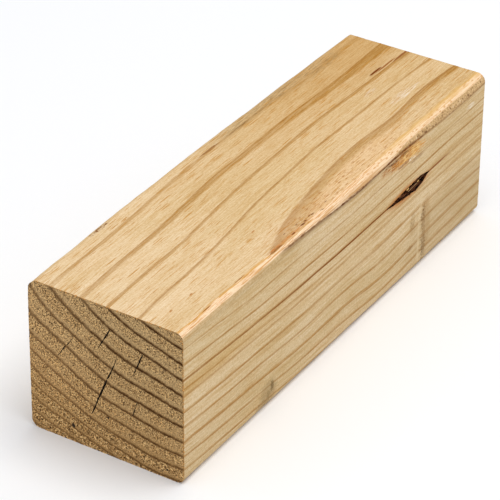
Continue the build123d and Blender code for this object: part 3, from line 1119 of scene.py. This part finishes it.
def speck_group():
    """Small round specks, pale ones and dark ones, each 1 at its middle."""
    numbers = ["Cell", "Size", "Pale_Keep", "Dark_Keep"]
    graph, given, finish = new_group("torn pores", ["Place"], numbers, ["Pale", "Dark"])
    distance, chance = graph.cells(given["Place"], graph.math("DIVIDE", 1.0, given["Cell"]))
    size = graph.math("MULTIPLY", given["Size"], graph.math("MULTIPLY_ADD", chance[1], 0.8, 0.5))
    dot = graph.step(distance, size, graph.math("MULTIPLY", size, 0.35))
    is_pale = graph.math("LESS_THAN", chance[0], given["Pale_Keep"])
    is_dark = graph.math("GREATER_THAN", chance[0], graph.math("SUBTRACT", 1.0, given["Dark_Keep"]))
    return finish(Pale=graph.math("MULTIPLY", dot, is_pale), Dark=graph.math("MULTIPLY", dot, is_dark))


def material_shell(name, roughness=0.5, specular=0.5):
    """New material with its graph and shader."""
    material = bpy.data.materials.new(name)
    material.use_nodes = True
    material.node_tree.nodes.clear()
    graph = Graph(material.node_tree)
    shader = graph.node("ShaderNodeBsdfPrincipled", {"Roughness": roughness, "Specular IOR Level": specular})
    graph.node("ShaderNodeOutputMaterial", {"Surface": shader.outputs[0]})
    return material, graph, shader


def bump(graph, shader, height, strength, distance):
    """Fine relief on a shader; the distance is in millimetres."""
    made = graph.node("ShaderNodeBump", {"Height": height, "Strength": strength, "Distance": distance * MM})
    graph.feed(shader.inputs["Normal"], made.outputs[0])


def planed_wood(coat, fibre):
    """Plain wood: palest near the checked end, partly as painted light, more golden on the far part of the
    top, greyer on the side.
    """
    graph, along, across, down = coat.graph, coat.along, coat.across, coat.down
    on_side = graph.times(graph.step(across, *SIDE_BEGINS), graph.step(down, 2, 6))
    cloudy = graph.step(fibre["Cloud"], 0.65, 0.35, 0.0, 0.6)
    # On the top, paler towards the checked end: partly the wood's own tone, partly painted light as if lit
    # more there
    pale = graph.math("SUBTRACT", cloudy, graph.step(along, 0, 150, -0.4, 0.1))
    pale = graph.math("MULTIPLY_ADD", graph.times(on_side, graph.step(along, 60, 150)), 0.50, pale)
    coat.colour = graph.mix(pale, PLAIN_WOOD, PALE_WOOD)
    far_on_top = graph.times(graph.step(along, 60, 320), graph.step(down, 8, 1))
    coat.lay(GOLDEN_WOOD, far_on_top, graph.step(across, 20, 55, 1.0, 0.25))
    coat.stain(SIDE_TINT, on_side)
    coat.stain(LOW_SIDE_TINT, on_side, graph.step(down, 35, 75))
    band = graph.step(graph.away(down, BROWN_BAND_DOWN), 8, 2)
    coat.lay(BROWN_BAND, on_side, band, graph.step(along, 130, 30, 0.0, 0.55))
    less_on_side = graph.math("MULTIPLY_ADD", on_side, -0.4, 1.0)
    coat.stain(STREAK_TINT, graph.step(fibre["Broad"], 0.42, 0.70, 0.0, 0.50), less_on_side)


def ringed_wood(coat, ring, look, fibre):
    """Adds latewood and the dark edge of each ring, and on the side a false ring and one dark line."""
    graph, along, age = coat.graph, coat.along, ring["Age"]
    broad_patches = graph.step(fibre["Broad"], 0.25, 0.60, 0.65, 1.05)
    patchy = graph.times(broad_patches, graph.step(fibre["Fine"], 0.30, 0.60, 0.72, 1.1))
    coat.lay(LATEWOOD, ring["Late"], look[1], patchy)
    coat.lay(RING_EDGE, ring["Edge"], look[2], patchy)
    coat.lay(LATEWOOD, graph.step(age, -0.34, 0.0), graph.math("LESS_THAN", age, 0.0), 0.10)
    coat.lay(PEACH_WOOD, graph.step(age, -0.12, -0.26), graph.band(along, 108, 138, 200, 240), 0.80)
    on_side = graph.step(coat.across, WIDTH - 5, WIDTH - 2)
    false_ring = graph.step(graph.away(age, FALSE_RING_AGE), 0.13, 0.03)
    coat.lay(LATEWOOD, false_ring, on_side, graph.step(along, 20, 70, 0.75, 0.40), patchy)
    dark_ring = graph.step(graph.away(age, DARK_RING_AGE), 0.11, 0.03)
    shown = graph.times(graph.step(along, 60, 150, 0.35, 0.95), graph.step(along, *DARK_RING_FADES[::-1]))
    coat.lay(DARK_LINE, dark_ring, on_side, shown, graph.step(fibre["Fine"], 0.25, 0.55, 0.75, 1.0))


def fibrous_wood(coat, grain, fibre, ring):
    """Adds resin canals, fine fibres and the fuzz left by the planer."""
    graph, canal_tree = coat.graph, coat.groups["canals"]
    on_side = graph.step(coat.across, *SIDE_BEGINS)
    inside = graph.step(ring["Age"], 0.0, -0.2, 0.0, 0.5)
    patches = graph.step(graph.noise(grain, (0.012, 0.07, 0.07)), 0.36, 0.62, 0.10, 0.65)
    busy = graph.math("ADD", patches, inside)
    for cells, thickness, strength in CANALS:
        rods = {"Grain": grain, "Cells": cells, "Thickness": thickness, "Keep": busy}
        shown = graph.math("MULTIPLY_ADD", on_side, -0.7 * strength, strength)
        coat.lay(RESIN, graph.group(canal_tree, rods)["Canal"], shown)
    kept = graph.times(inside, busy, 1.1)
    rods = {"Grain": grain, "Cells": (0.19, 1.4, 1.4), "Thickness": 0.40, "Keep": kept}
    shown = graph.step(coat.along, 160, 240, 0.90, 0.35)
    coat.lay(RESIN_BROWN, graph.group(canal_tree, rods)["Canal"], shown)
    fuzz = graph.noise(coat.place, (0.8, 1.1, 1.1), 2.0, 0.6)
    kinds = {"fine": fibre["Fine"], "thread": fibre["Thread"], "fuzz": fuzz}
    for kind, start, full, share, more_on_side, tint in FIBRE_TINTS:
        shown = graph.math("MULTIPLY_ADD", on_side, more_on_side, share)
        coat.stain(tint, graph.step(kinds[kind], start, full), shown)


def arris_measures(coat):
    """Distances from the side and past both limits of the torn strip on the arris, and its streaks."""
    graph, along = coat.graph, coat.along
    from_side = graph.math("SUBTRACT", WIDTH, coat.across)
    swing = graph.math("SUBTRACT", graph.noise(coat.place, (0.05, 0.5, 0.5), 3.0), 0.5)
    top_reach = graph.math("ADD", graph.step(along, 55, 76, 3.0, 2.6), graph.step(along, 90, 250, 0.0, 2.3))
    over_top = graph.math("SUBTRACT", graph.math("MULTIPLY_ADD", swing, 3.0, from_side), top_reach)
    drawn_in = graph.step(along, 185, 215, 0.0, 2.9)
    side_reach = graph.math("SUBTRACT", graph.step(along, 100, 165, 2.3, 4.5), drawn_in)
    down_side = graph.math("SUBTRACT", graph.math("MULTIPLY_ADD", swing, 0.5, coat.down), side_reach)
    streak = graph.noise(coat.place, (0.05, 1.5, 1.5), 3.0, 0.7)
    frayed = graph.times(graph.math("SUBTRACT", streak, 0.5), graph.step(along, 80, 120, 1.5, 4.0))
    return from_side, graph.math("ADD", over_top, frayed), down_side, streak


def fibre_strip(coat, over_top, down_side, streak):
    """Adds the arris strip of peach and rust fibres, partly painted highlight, its orange border and its
    golden crest.
    """
    graph, along, down = coat.graph, coat.along, coat.down
    rusty = graph.times(graph.step(streak, 0.47, 0.58), graph.step(along, 150, 210, 0.85, 0.45))
    fibres = graph.mix(rusty, PEACH_FIBRE_AND_HIGHLIGHT, RUST_FIBRE)
    # Bright cream streaks in the strip: painted highlight
    fibres = graph.mix(graph.step(streak, 0.42, 0.30, 0.0, 0.8), fibres, PAINTED_HIGHLIGHT_FIBRE)
    rods = {"Grain": coat.place, "Cells": (0.30, 0.9, 0.9), "Thickness": 0.46, "Keep": 0.8}
    specks = graph.group(coat.groups["canals"], rods)["Canal"]
    fibres = graph.mix(graph.times(specks, graph.step(along, 150, 200, 0.2, 0.7)), fibres, FIBRE_SPECK)
    lower = graph.times(graph.step(down, 1.2, 3.0), graph.step(along, 105, 140, 0.0, 0.55))
    lower = graph.times(lower, graph.step(streak, 0.36, 0.52, 0.4, 1.0))
    fibres = graph.mix(lower, fibres, LOWER_FIBRE)
    # The strip's paleness is partly painted highlight where the arris faces the light
    strip = graph.times(graph.step(over_top, 0.6, -0.6), graph.step(down_side, 0.2, -0.2))
    coat.lay(fibres, strip, graph.step(along, 150, 220, 0.95, 0.80))
    border = graph.times(graph.band(over_top, -0.6, 0.2, 0.5, 1.3), graph.step(along, 105, 80, 0.25, 0.85))
    coat.lay(BORDER_ORANGE, border, graph.step(streak, 0.38, 0.55, 0.4, 1.0))
    crest = graph.step(graph.math("ABSOLUTE", over_top), 2.2, 0.2)
    coat.lay(CREST_GOLD, crest, graph.step(along, 180, 215, 0.0, 0.6), graph.step(down, 3, 1))


def under_strip(coat, from_side, down_side):
    """Adds the grey painted shade that the side begins with under the strip."""
    graph, along = coat.graph, coat.along
    # Painted shade below the strip's lower edge
    below = graph.times(graph.step(down_side, -0.2, 0.2), graph.step(coat.down, 9, 3))
    below = graph.times(below, graph.step(from_side, 4, 2))
    coat.stain(FAR_PAINTED_SHADE_TINT, below, graph.step(along, 150, 200))
    coat.stain(NEAR_PAINTED_SHADE_TINT, below, graph.step(along, 200, 150))


def torn_pores(coat, age, from_side, down_side):
    """Adds torn pores between the crest of the arris and the bark line, far along."""
    graph, place = coat.graph, coat.place
    inside = graph.times(graph.step(age, 0.03, -0.05), graph.step(coat.along, 190, 225))
    porous = graph.times(inside, graph.step(down_side, -0.3, 0.5), graph.step(from_side, 6, 4.5))
    sandy = graph.step(graph.noise(place, (0.9, 1.3, 1.3), 3.0, 0.7), 0.40, 0.60)
    coat.lay(graph.mix(sandy, SANDY_DARK, SANDY_PALE), porous, 0.9)
    pores = graph.group(coat.groups["specks"], {"Place": place, **ARRIS_PORES})
    coat.lay(ARRIS_PORE_PALE, porous, pores["Pale"], 0.6)
    coat.lay(ARRIS_PORE_DARK, porous, pores["Dark"], 0.80)


def bark_line(coat, age, down_side):
    """Adds dark bark along the edge of ring 0 where it runs under the arris, with a brown shade below it."""
    graph, along = coat.graph, coat.along
    under_arris = graph.times(graph.step(coat.across, WIDTH - 4.0, WIDTH - 2.0), graph.step(along, 84, 98))
    shade = graph.band(down_side, -0.2, 0.2, 0.4, 3.0)
    coat.lay(BARK_SHADE, shade, under_arris, graph.step(along, 165, 190, 0.75, 0.0))
    at_ring_0 = graph.times(graph.band(age, -0.15, -0.05, 0.02, 0.09), graph.step(along, *BARK_LINE_TURNS))
    at_ring_0 = graph.times(at_ring_0, graph.step(down_side, -0.9, -0.3))
    at_edge = graph.times(graph.step(graph.away(down_side, 0.2), 1.2, 0.2), graph.step(along, 185, 165))
    least = graph.step(along, *BARK_LINE_TURNS, 0.10, 0.60)
    dashes = graph.step(graph.noise(coat.place, (0.20, 0.7, 0.7), 3.0, 0.7), 0.42, 0.57, least, 1.0)
    weaker = graph.math("MULTIPLY_ADD", graph.band(along, 112, 118, 138, 146), -0.3, 1.0)
    fading = graph.times(graph.step(along, 100, 150, 0.65, 1.0), graph.step(along, 215, 245, 1.0, 0.25))
    coat.lay(BARK_LINE, graph.math("MAXIMUM", at_ring_0, at_edge), under_arris, dashes, weaker, fading)


def marked_wood(coat):
    """Adds the stains, scuffs, knots and resin spots."""
    graph = coat.graph
    dashes = []
    for middle, size in RESIN_DASHES:
        reach = tuple(size * part for part in RESIN_DASH_REACH)
        shape = ((*middle, RESIN_DASH_DOWN), reach, RESIN_DASH_RAGGED, RESIN_DASH_VARIES)
        dashes.append((*shape, 0.0, RESIN_DASH_STRENGTH, RESIN_DASH))
    for middle, reach, ragged, pitch, broken, strength, tint in MARKS + dashes:
        given = {"Middle": middle, "Reach": reach, "Ragged": ragged, "Pitch": pitch, "Broken": broken}
        mark = graph.group(coat.groups["mark"], {"Place": coat.place, **given})
        coat.lay(tint, mark["Mask"], strength)


def dressed_softwood(groups):
    """Planed long faces."""
    material, graph, shader = material_shell("dressed_softwood", specular=0.01)
    coat = Coat(graph, groups)
    grain, look = graph.attribute("grain"), graph.parts(graph.attribute("ring_look"))
    ring = graph.group(groups["rings"], {"Grain": grain, "Late_Share": look[0], **PLANED_RINGS})
    fibre = graph.group(groups["fibre"], {"Grain": grain})
    planed_wood(coat, fibre)
    ringed_wood(coat, ring, look, fibre)
    fibrous_wood(coat, grain, fibre, ring)
    from_side, over_top, down_side, streak = arris_measures(coat)
    fibre_strip(coat, over_top, down_side, streak)
    under_strip(coat, from_side, down_side)
    torn_pores(coat, ring["Age"], from_side, down_side)
    bark_line(coat, ring["Age"], down_side)
    marked_wood(coat)
    graph.feed(shader.inputs["Base Color"], coat.colour)
    graph.feed(shader.inputs["Roughness"], graph.step(fibre["Fine"], 0.3, 0.7, 0.55, 0.70))
    bump(graph, shader, graph.math("MULTIPLY_ADD", ring["Late"], 0.5, fibre["Fine"]), 0.35, 0.25)
    return material


def torn_tissue(coat, ring):
    """How torn the sawn end is: rough in the early part of each ring, dense and smooth in its late part."""
    graph, place = coat.graph, coat.place
    early = graph.band(ring["Part"], 0.0, 0.12, 0.50, 0.85)
    rough = graph.step(graph.noise(place, (0.11, 0.11, 0.11)), 0.32, 0.62, 0.40, 1.0)
    rough = graph.math("MAXIMUM", rough, graph.step(ring["Age"], 7.0, 10.0, 0.0, 0.9))
    torn = graph.math("MULTIPLY_ADD", graph.times(early, rough), 0.8, 0.2)
    for middle, reach in TORN_SPOTS:
        given = {"Middle": (0, *middle), "Reach": (4, reach, reach), "Ragged": 1.4, "Pitch": ALL_ROUND}
        spot = graph.group(coat.groups["mark"], {"Place": place, **given})
        torn = graph.math("MAXIMUM", torn, graph.times(spot["Mask"], early))
    return torn


def weathered_end(coat, ring):
    """Wood of the sawn ends: greyer towards the pith, browner away from it, lighter on the upper left."""
    graph = coat.graph
    coat.colour = graph.mix(graph.step(ring["Age"], 2.0, 11.0), END_GREY, END_BROWN)
    coat.lay(END_CLOUD, graph.step(graph.noise(coat.place, (0.06, 0.06, 0.06)), 0.40, 0.75, 0.0, 0.25))
    coat.stain(END_LIGHT_TINT, graph.step(coat.across, 60, 15), graph.step(coat.down, 74, 50))


def mottled_end(coat, torn, tissue):
    """Adds the brown and the mottle of torn early wood; returns the mottle."""
    graph = coat.graph
    coat.lay(EARLY_BROWN, torn, 0.50)
    mottle = graph.noise(tissue, (1.25, 1.25, 1.25), 3.0, 0.75)
    uneven = graph.math("MULTIPLY_ADD", torn, 0.65, 0.35)
    uneven = graph.times(uneven, graph.step(coat.across, 25, 60, 1.35, 1.0))
    coat.stain(MOTTLE_DARK_TINT, graph.step(mottle, 0.51, 0.36), uneven)
    coat.stain(MOTTLE_PALE_TINT, graph.step(mottle, 0.51, 0.66), uneven)
    return mottle


def end_rings(coat, ring):
    """Adds rings of uneven strength, strongest on the right and weaker away from the pith."""
    graph = coat.graph
    uneven = graph.step(graph.noise(coat.place, (0.22, 0.22, 0.22), 3.0), 0.30, 0.62, 0.70, 1.0)
    weaker = graph.step(ring["Age"], 4.0, 11.0, 1.0, 0.65)
    strength = graph.times(weaker, graph.step(coat.across, 5, 75, 0.70, 1.0), uneven)
    coat.stain(END_LATE_TINT, ring["Late"], strength, 0.85)
    coat.stain(END_EDGE_TINT, ring["Edge"], strength)


def end_pores(coat, torn, tissue):
    """Adds open pores and loose pale fibres, with coarser ones along the base; returns the fine ones."""
    graph, speck_tree = coat.graph, coat.groups["specks"]
    opened = graph.step(torn, 0.25, 0.70)
    pores = graph.group(speck_tree, {"Place": tissue, **END_PORES})
    coat.lay(END_PORE_PALE, pores["Pale"], opened, 0.85)
    coat.lay(END_PORE_DARK, pores["Dark"], opened, 0.95)
    wander = graph.noise(coat.place, (0.12, 0.12, 0.12))
    near_base = graph.step(graph.math("MULTIPLY_ADD", wander, 24, coat.down), 76, 94, 0.12, 1.0)
    flecks = graph.group(speck_tree, {"Place": tissue, **BASE_FLECKS})
    coat.lay(BASE_FLECK_PALE, flecks["Pale"], opened, near_base, 0.80)
    coat.lay(BASE_FLECK_DARK, flecks["Dark"], opened, near_base, 0.90)
    return pores


def end_burr(coat):
    """Adds the rust-coloured burr along the top and the side rim."""
    graph = coat.graph
    rim = graph.math("MINIMUM", coat.down, graph.math("SUBTRACT", WIDTH, coat.across))
    uneven_rim = graph.math("ADD", rim, graph.noise(coat.place, (0.7, 0.7, 0.7)))
    coat.lay(BURR_RUST, graph.step(uneven_rim, 1.5, 0.6), 0.7)


def sawn_end_grain(groups):
    """Sawn ends: dark rings, torn pores and pale flecks."""
    material, graph, shader = material_shell("sawn_end_grain", 0.9, 0.0)
    coat = Coat(graph, groups)
    ring = graph.group(groups["rings"], {"Grain": graph.attribute("grain"), **SAWN_RINGS})
    torn = torn_tissue(coat, ring)
    tissue = graph.vector("MULTIPLY", coat.place, TISSUE_DRAWN_OUT)
    weathered_end(coat, ring)
    mottle = mottled_end(coat, torn, tissue)
    end_rings(coat, ring)
    pores = end_pores(coat, torn, tissue)
    end_burr(coat)
    graph.feed(shader.inputs["Base Color"], coat.colour)
    height = graph.math("ADD", mottle, graph.math("SUBTRACT", pores["Pale"], pores["Dark"]))
    bump(graph, shader, height, 0.4, 0.2)
    return material


def painted_shade_check_wall():
    """Walls inside the drying checks and pits: painted shade, near black to dark brown."""
    material, graph, shader = material_shell("painted_shade_check_wall", 0.95)
    fibres = graph.noise(graph.stick_place(), (0.15, 0.9, 0.9), 3.0)
    graph.feed(shader.inputs["Base Color"], graph.mix(fibres, CHECK_SHADE_BLACK, CHECK_SHADE_BROWN))
    return material


def ingrown_bark():
    """Dark flaky bark grown into the wood."""
    material, graph, shader = material_shell("ingrown_bark", 0.9, 0.02)
    flakes = graph.noise(graph.stick_place(), (0.5, 1.0, 1.0), 3.0, 0.6)
    graph.feed(shader.inputs["Base Color"], graph.mix(graph.step(flakes, 0.45, 0.75), BARK_BLACK, BARK_DARK))
    bump(graph, shader, flakes, 0.8, 0.5)
    return material


def plain_finish(name, colour, roughness):
    """Finish of one colour."""
    material, _, shader = material_shell(name, roughness, 0.03)
    shader.inputs["Base Color"].default_value = colour
    return material


def mark_ends(mesh):
    """Gives the sawn ends their own finish."""
    count = len(mesh.polygons)
    normals, centres = np.empty(count * 3), np.empty(count * 3)
    indices = np.empty(count, dtype=np.int32)
    mesh.polygons.foreach_get("normal", normals)
    mesh.polygons.foreach_get("center", centres)
    mesh.polygons.foreach_get("material_index", indices)
    along = in_stick(centres.reshape(-1, 3))[:, 0]
    at_end = (along < SAWN_REACH) | (along > LENGTH - SAWN_REACH)
    facing = np.abs(normals.reshape(-1, 3)[:, 0]) > 0.5
    indices[at_end & facing & (indices == 0)] = 1
    mesh.polygons.foreach_set("material_index", indices)


def build_stick():
    """The stick with its checks and bark pocket cut, its finishes and its wood directions."""
    groups = {
        "rings": growth_ring_group(),
        "fibre": fibre_group(),
        "canals": canal_group(),
        "mark": mark_group(),
        "specks": speck_group(),
    }
    finishes = [dressed_softwood(groups), sawn_end_grain(groups), painted_shade_check_wall(), ingrown_bark()]
    points, outward, faces = stick_surface()
    points = points + outward * relief(points, outward)[:, None]
    stick = new_mesh("timber_post_wood", points, faces, finishes)
    # The checks and pits take the walls with painted shade
    cutters = [new_mesh(f"check_{n}", *check_cutter(check, n), finishes, 2) for n, check in enumerate(CHECKS)]
    cutters += [new_mesh(f"pit_{n}", *pit_cutter(*pit, n), finishes, 2) for n, pit in enumerate(PITS)]
    cutters.append(new_mesh("pocket", *pocket_cutter(), finishes, 3))
    cutters.append(new_mesh("arris_crack", *crack_cutter(), finishes, 0))
    carve(stick, cutters)
    mesh = stick.data
    store_grain(mesh)
    mark_ends(mesh)
    mesh.shade_smooth()
    mesh.set_sharp_from_angle(angle=math.radians(SHARP_ANGLE))
    return stick


def flake_tree():
    """Geometry tree that strews slender flakes with the grain over a surface; sizes are in metres."""
    tree = bpy.data.node_groups.new("flakes on a surface", "GeometryNodeTree")
    sockets = {
        "Geometry": "NodeSocketGeometry",
        "Density": NUMBER,
        "Size": VECTOR,
        "Turn": VECTOR,
        "Seed": "NodeSocketInt",
        "Finish": "NodeSocketMaterial",
    }
    for label, kind in sockets.items():
        tree.interface.new_socket(label, in_out="INPUT", socket_type=kind)
    tree.interface.new_socket("Geometry", in_out="OUTPUT", socket_type="NodeSocketGeometry")
    graph = Graph(tree)
    given = graph.node("NodeGroupInput").outputs
    strewn = {"Mesh": given["Geometry"], "Density": given["Density"], "Seed": given["Seed"]}
    points = graph.node("GeometryNodeDistributePointsOnFaces", strewn).outputs["Points"]
    flake = graph.node("GeometryNodeMeshIcoSphere", {"Radius": 0.5, "Subdivisions": 1}).outputs["Mesh"]
    back = graph.vector("MULTIPLY", given["Turn"], (-1, -1, -1))
    turns = {0: back, 1: given["Turn"], "Seed": given["Seed"]}
    turn = graph.node("FunctionNodeRandomValue", turns, data_type="FLOAT_VECTOR")
    grown = graph.node("FunctionNodeRandomValue", {2: 0.5, 3: 1.4, "Seed": given["Seed"]}, data_type="FLOAT")
    scaled = {0: given["Size"], "Scale": grown.outputs[1]}
    size = graph.node("ShaderNodeVectorMath", scaled, operation="SCALE").outputs[0]
    placed = {"Points": points, "Instance": flake, "Rotation": turn.outputs[0], "Scale": size}
    instances = graph.node("GeometryNodeInstanceOnPoints", placed).outputs[0]
    real = graph.node("GeometryNodeRealizeInstances", {"Geometry": instances}).outputs[0]
    finish = {"Geometry": real, "Material": given["Finish"]}
    finished = graph.node("GeometryNodeSetMaterial", finish).outputs[0]
    graph.node("NodeGroupOutput", {0: finished})
    return tree


def strew(name, tree, rows, density, size, turn, seed, finish):
    """Piece of flakes strewn over rows of stick points, with so many for each square millimetre."""
    count = len(rows[0])
    surface = new_mesh(name, np.concatenate(rows), grid_quads(len(rows), count).tolist())
    strewing = surface.modifiers.new("flakes", "NODES")
    strewing.node_group = tree
    values = {"Density": density / MM**2, "Size": [side * MM for side in size], "Turn": turn}
    values.update({"Seed": seed, "Finish": finish})
    for item in tree.interface.items_tree:
        if item.in_out == "INPUT" and item.name in values:
            strewing[item.identifier] = values[item.name]
    bpy.context.view_layer.update()
    ready = surface.evaluated_get(bpy.context.evaluated_depsgraph_get())
    mesh = bpy.data.meshes.new_from_object(ready)
    surface.modifiers.clear()
    surface.data = mesh
    return surface


def fragment_points(middle, length, height, rise):
    """Points and faces of one fragment of wood: a slender spindle with the grain."""
    share = np.linspace(0, 1, 9)[1:-1]
    spread = np.sqrt(1 - (2 * share - 1) ** 2)
    turns = np.linspace(0, 2 * math.pi, FRAGMENT_SIDES + 1)[:-1]
    rings = []
    for part, wide in zip(share, spread):
        ahead = (part - 0.5) * length
        line = np.column_stack([np.full(FRAGMENT_SIDES, middle[0] + ahead), turns, turns])
        ragged = 0.5 * height * wide * (1 + 0.25 * smooth_noise(line, (2.0, 1.1, 1.1), 51))
        across = WIDTH - FRAGMENT_BELOW_FACE + ragged * np.sin(turns)
        down = middle[1] - rise * ahead + ragged * np.cos(turns)
        rings.append(np.column_stack([line[:, 0], across, down]))
    return np.concatenate(rings), tube_faces(len(share), FRAGMENT_SIDES)


def build_fragments(name, fragments, finish):
    """Fragments of wood in the bark pocket, as one mesh."""
    points, faces = [], []
    for fragment in fragments:
        more_points, more_faces = fragment_points(*fragment)
        first = sum(len(part) for part in points)
        faces += [[first + corner for corner in face] for face in more_faces]
        points.append(more_points)
    return new_mesh(name, np.concatenate(points), faces, [finish])


def arris_rows():
    """Rows of points along the upper arris over the side."""
    along = np.linspace(*ARRIS_FIBRES, ARRIS_FIBRE_STEPS)
    radius = ARRIS_RADIUS - ARRIS_FIBRE_DEPTH
    rows = []
    for turn in np.radians(ARRIS_FIBRE_TURNS):
        across = WIDTH - ARRIS_RADIUS + radius * math.sin(turn)
        down = ARRIS_RADIUS - radius * math.cos(turn)
        rows.append(np.column_stack([along, np.full_like(along, across), np.full_like(along, down)]))
    return rows


def rim_rows():
    """Rows of points along the top and side rim of the near end."""
    top_across = np.linspace(BURR_MARGIN, WIDTH - BURR_MARGIN, BURR_STEPS)
    side_down = np.linspace(BURR_MARGIN, HEIGHT - BURR_MARGIN, BURR_STEPS)
    top = np.column_stack([top_across, np.full(BURR_STEPS, BURR_DEPTH)])
    side = np.column_stack([np.full(BURR_STEPS, WIDTH - BURR_DEPTH), side_down])
    rim = np.column_stack([np.full(2 * BURR_STEPS, BURR_FROM_END), np.concatenate([top, side])])
    return [rim, rim + np.array([BURR_BREADTH, 0, 0])]


def build_torn_wood():
    """Bark flakes and fragments in the pocket, torn fibres along the arris and the burr of the saw cut."""
    tree = flake_tree()
    pocket, arris, rim = pocket_rows(), arris_rows(), rim_rows()
    bark = plain_finish("bark_flake", BARK_BROWN, 0.9)
    wood = plain_finish("pocket_wood", POCKET_WOOD, 0.8)
    golden = plain_finish("golden_wood", POCKET_GOLD, 0.7)
    tan = plain_finish("tan_wood", POCKET_TAN, 0.8)
    # Strewn peach fibres keep their pale colour, partly painted highlight
    peach = plain_finish("peach_fibre", PEACH_FIBRE_AND_HIGHLIGHT, 0.7)
    rust = plain_finish("rust_fibre", RUST_FIBRE, 0.7)
    return [
        strew("timber_post_bark_flakes", tree, pocket, *BARK_FLAKES, bark),
        build_fragments("timber_post_fragments", FRAGMENTS, wood),
        build_fragments("timber_post_golden_bits", GOLDEN_FRAGMENTS, golden),
        build_fragments("timber_post_tan_shards", TAN_FRAGMENTS, tan),
        strew("timber_post_peach_fibres", tree, arris, *PEACH_FIBRES, peach),
        strew("timber_post_rust_fibres", tree, arris, *RUST_FIBRES, rust),
        strew("timber_post_saw_burr", tree, rim, *SAW_BURR, rust),
    ]


def add_camera():
    """Camera at the photograph's place, angle and lens."""
    place, aim = Vector(CAMERA_PLACE) * MM, Vector(CAMERA_AIM) * MM
    forward = (aim - place).normalized()
    level = forward.cross(Vector((0, 0, 1))).normalized()
    upward = level.cross(forward)
    roll = math.radians(CAMERA_ROLL)
    right = level * math.cos(roll) + upward * math.sin(roll)
    up = upward * math.cos(roll) - level * math.sin(roll)
    data = bpy.data.cameras.new("camera")
    data.lens = CAMERA_LENS
    data.sensor_width = CAMERA_SENSOR
    data.clip_start, data.clip_end = 0.05, 50.0
    camera = bpy.data.objects.new("camera", data)
    turn = Matrix((right, up, -forward)).transposed()
    camera.matrix_world = Matrix.Translation(place) @ turn.to_4x4()
    bpy.context.scene.collection.objects.link(camera)
    bpy.context.scene.camera = camera


def add_key_light():
    """Soft square light over the stick."""
    data = bpy.data.lights.new("key", "AREA")
    data.shape = "SQUARE"
    data.size = KEY_SIZE
    data.energy = KEY_POWER
    data.color = KEY_COLOUR
    light = bpy.data.objects.new("key", data)
    light.location = KEY_PLACE
    light.rotation_euler = (Vector(KEY_AIM) - Vector(KEY_PLACE)).to_track_quat("-Z", "Y").to_euler()
    bpy.context.scene.collection.objects.link(light)


def add_stage():
    """Pale floor, soft studio light and a plain surround."""
    mesh = bpy.data.meshes.new("floor")
    corners = [(FLOOR_REACH * x, FLOOR_REACH * y, 0) for x, y in ((-1, -1), (1, -1), (1, 1), (-1, 1))]
    mesh.from_pydata(corners, [], [(0, 1, 2, 3)])
    floor = bpy.data.objects.new("floor", mesh)
    bpy.context.scene.collection.objects.link(floor)
    material, _, shader = material_shell("pale_floor", 0.9)
    shader.inputs["Base Color"].default_value = FLOOR_COLOUR
    mesh.materials.append(material)
    world = bpy.data.worlds.new("surround")
    world.use_nodes = True
    background = world.node_tree.nodes["Background"]
    background.inputs["Color"].default_value = SURROUND_COLOUR
    background.inputs["Strength"].default_value = SURROUND_STRENGTH
    bpy.context.scene.world = world
    add_key_light()
    bpy.context.scene.view_settings.view_transform = "Standard"


for piece in [build_stick(), *build_torn_wood()]:
    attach(piece, "root")
    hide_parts("timber_post")
add_stage()
add_camera()
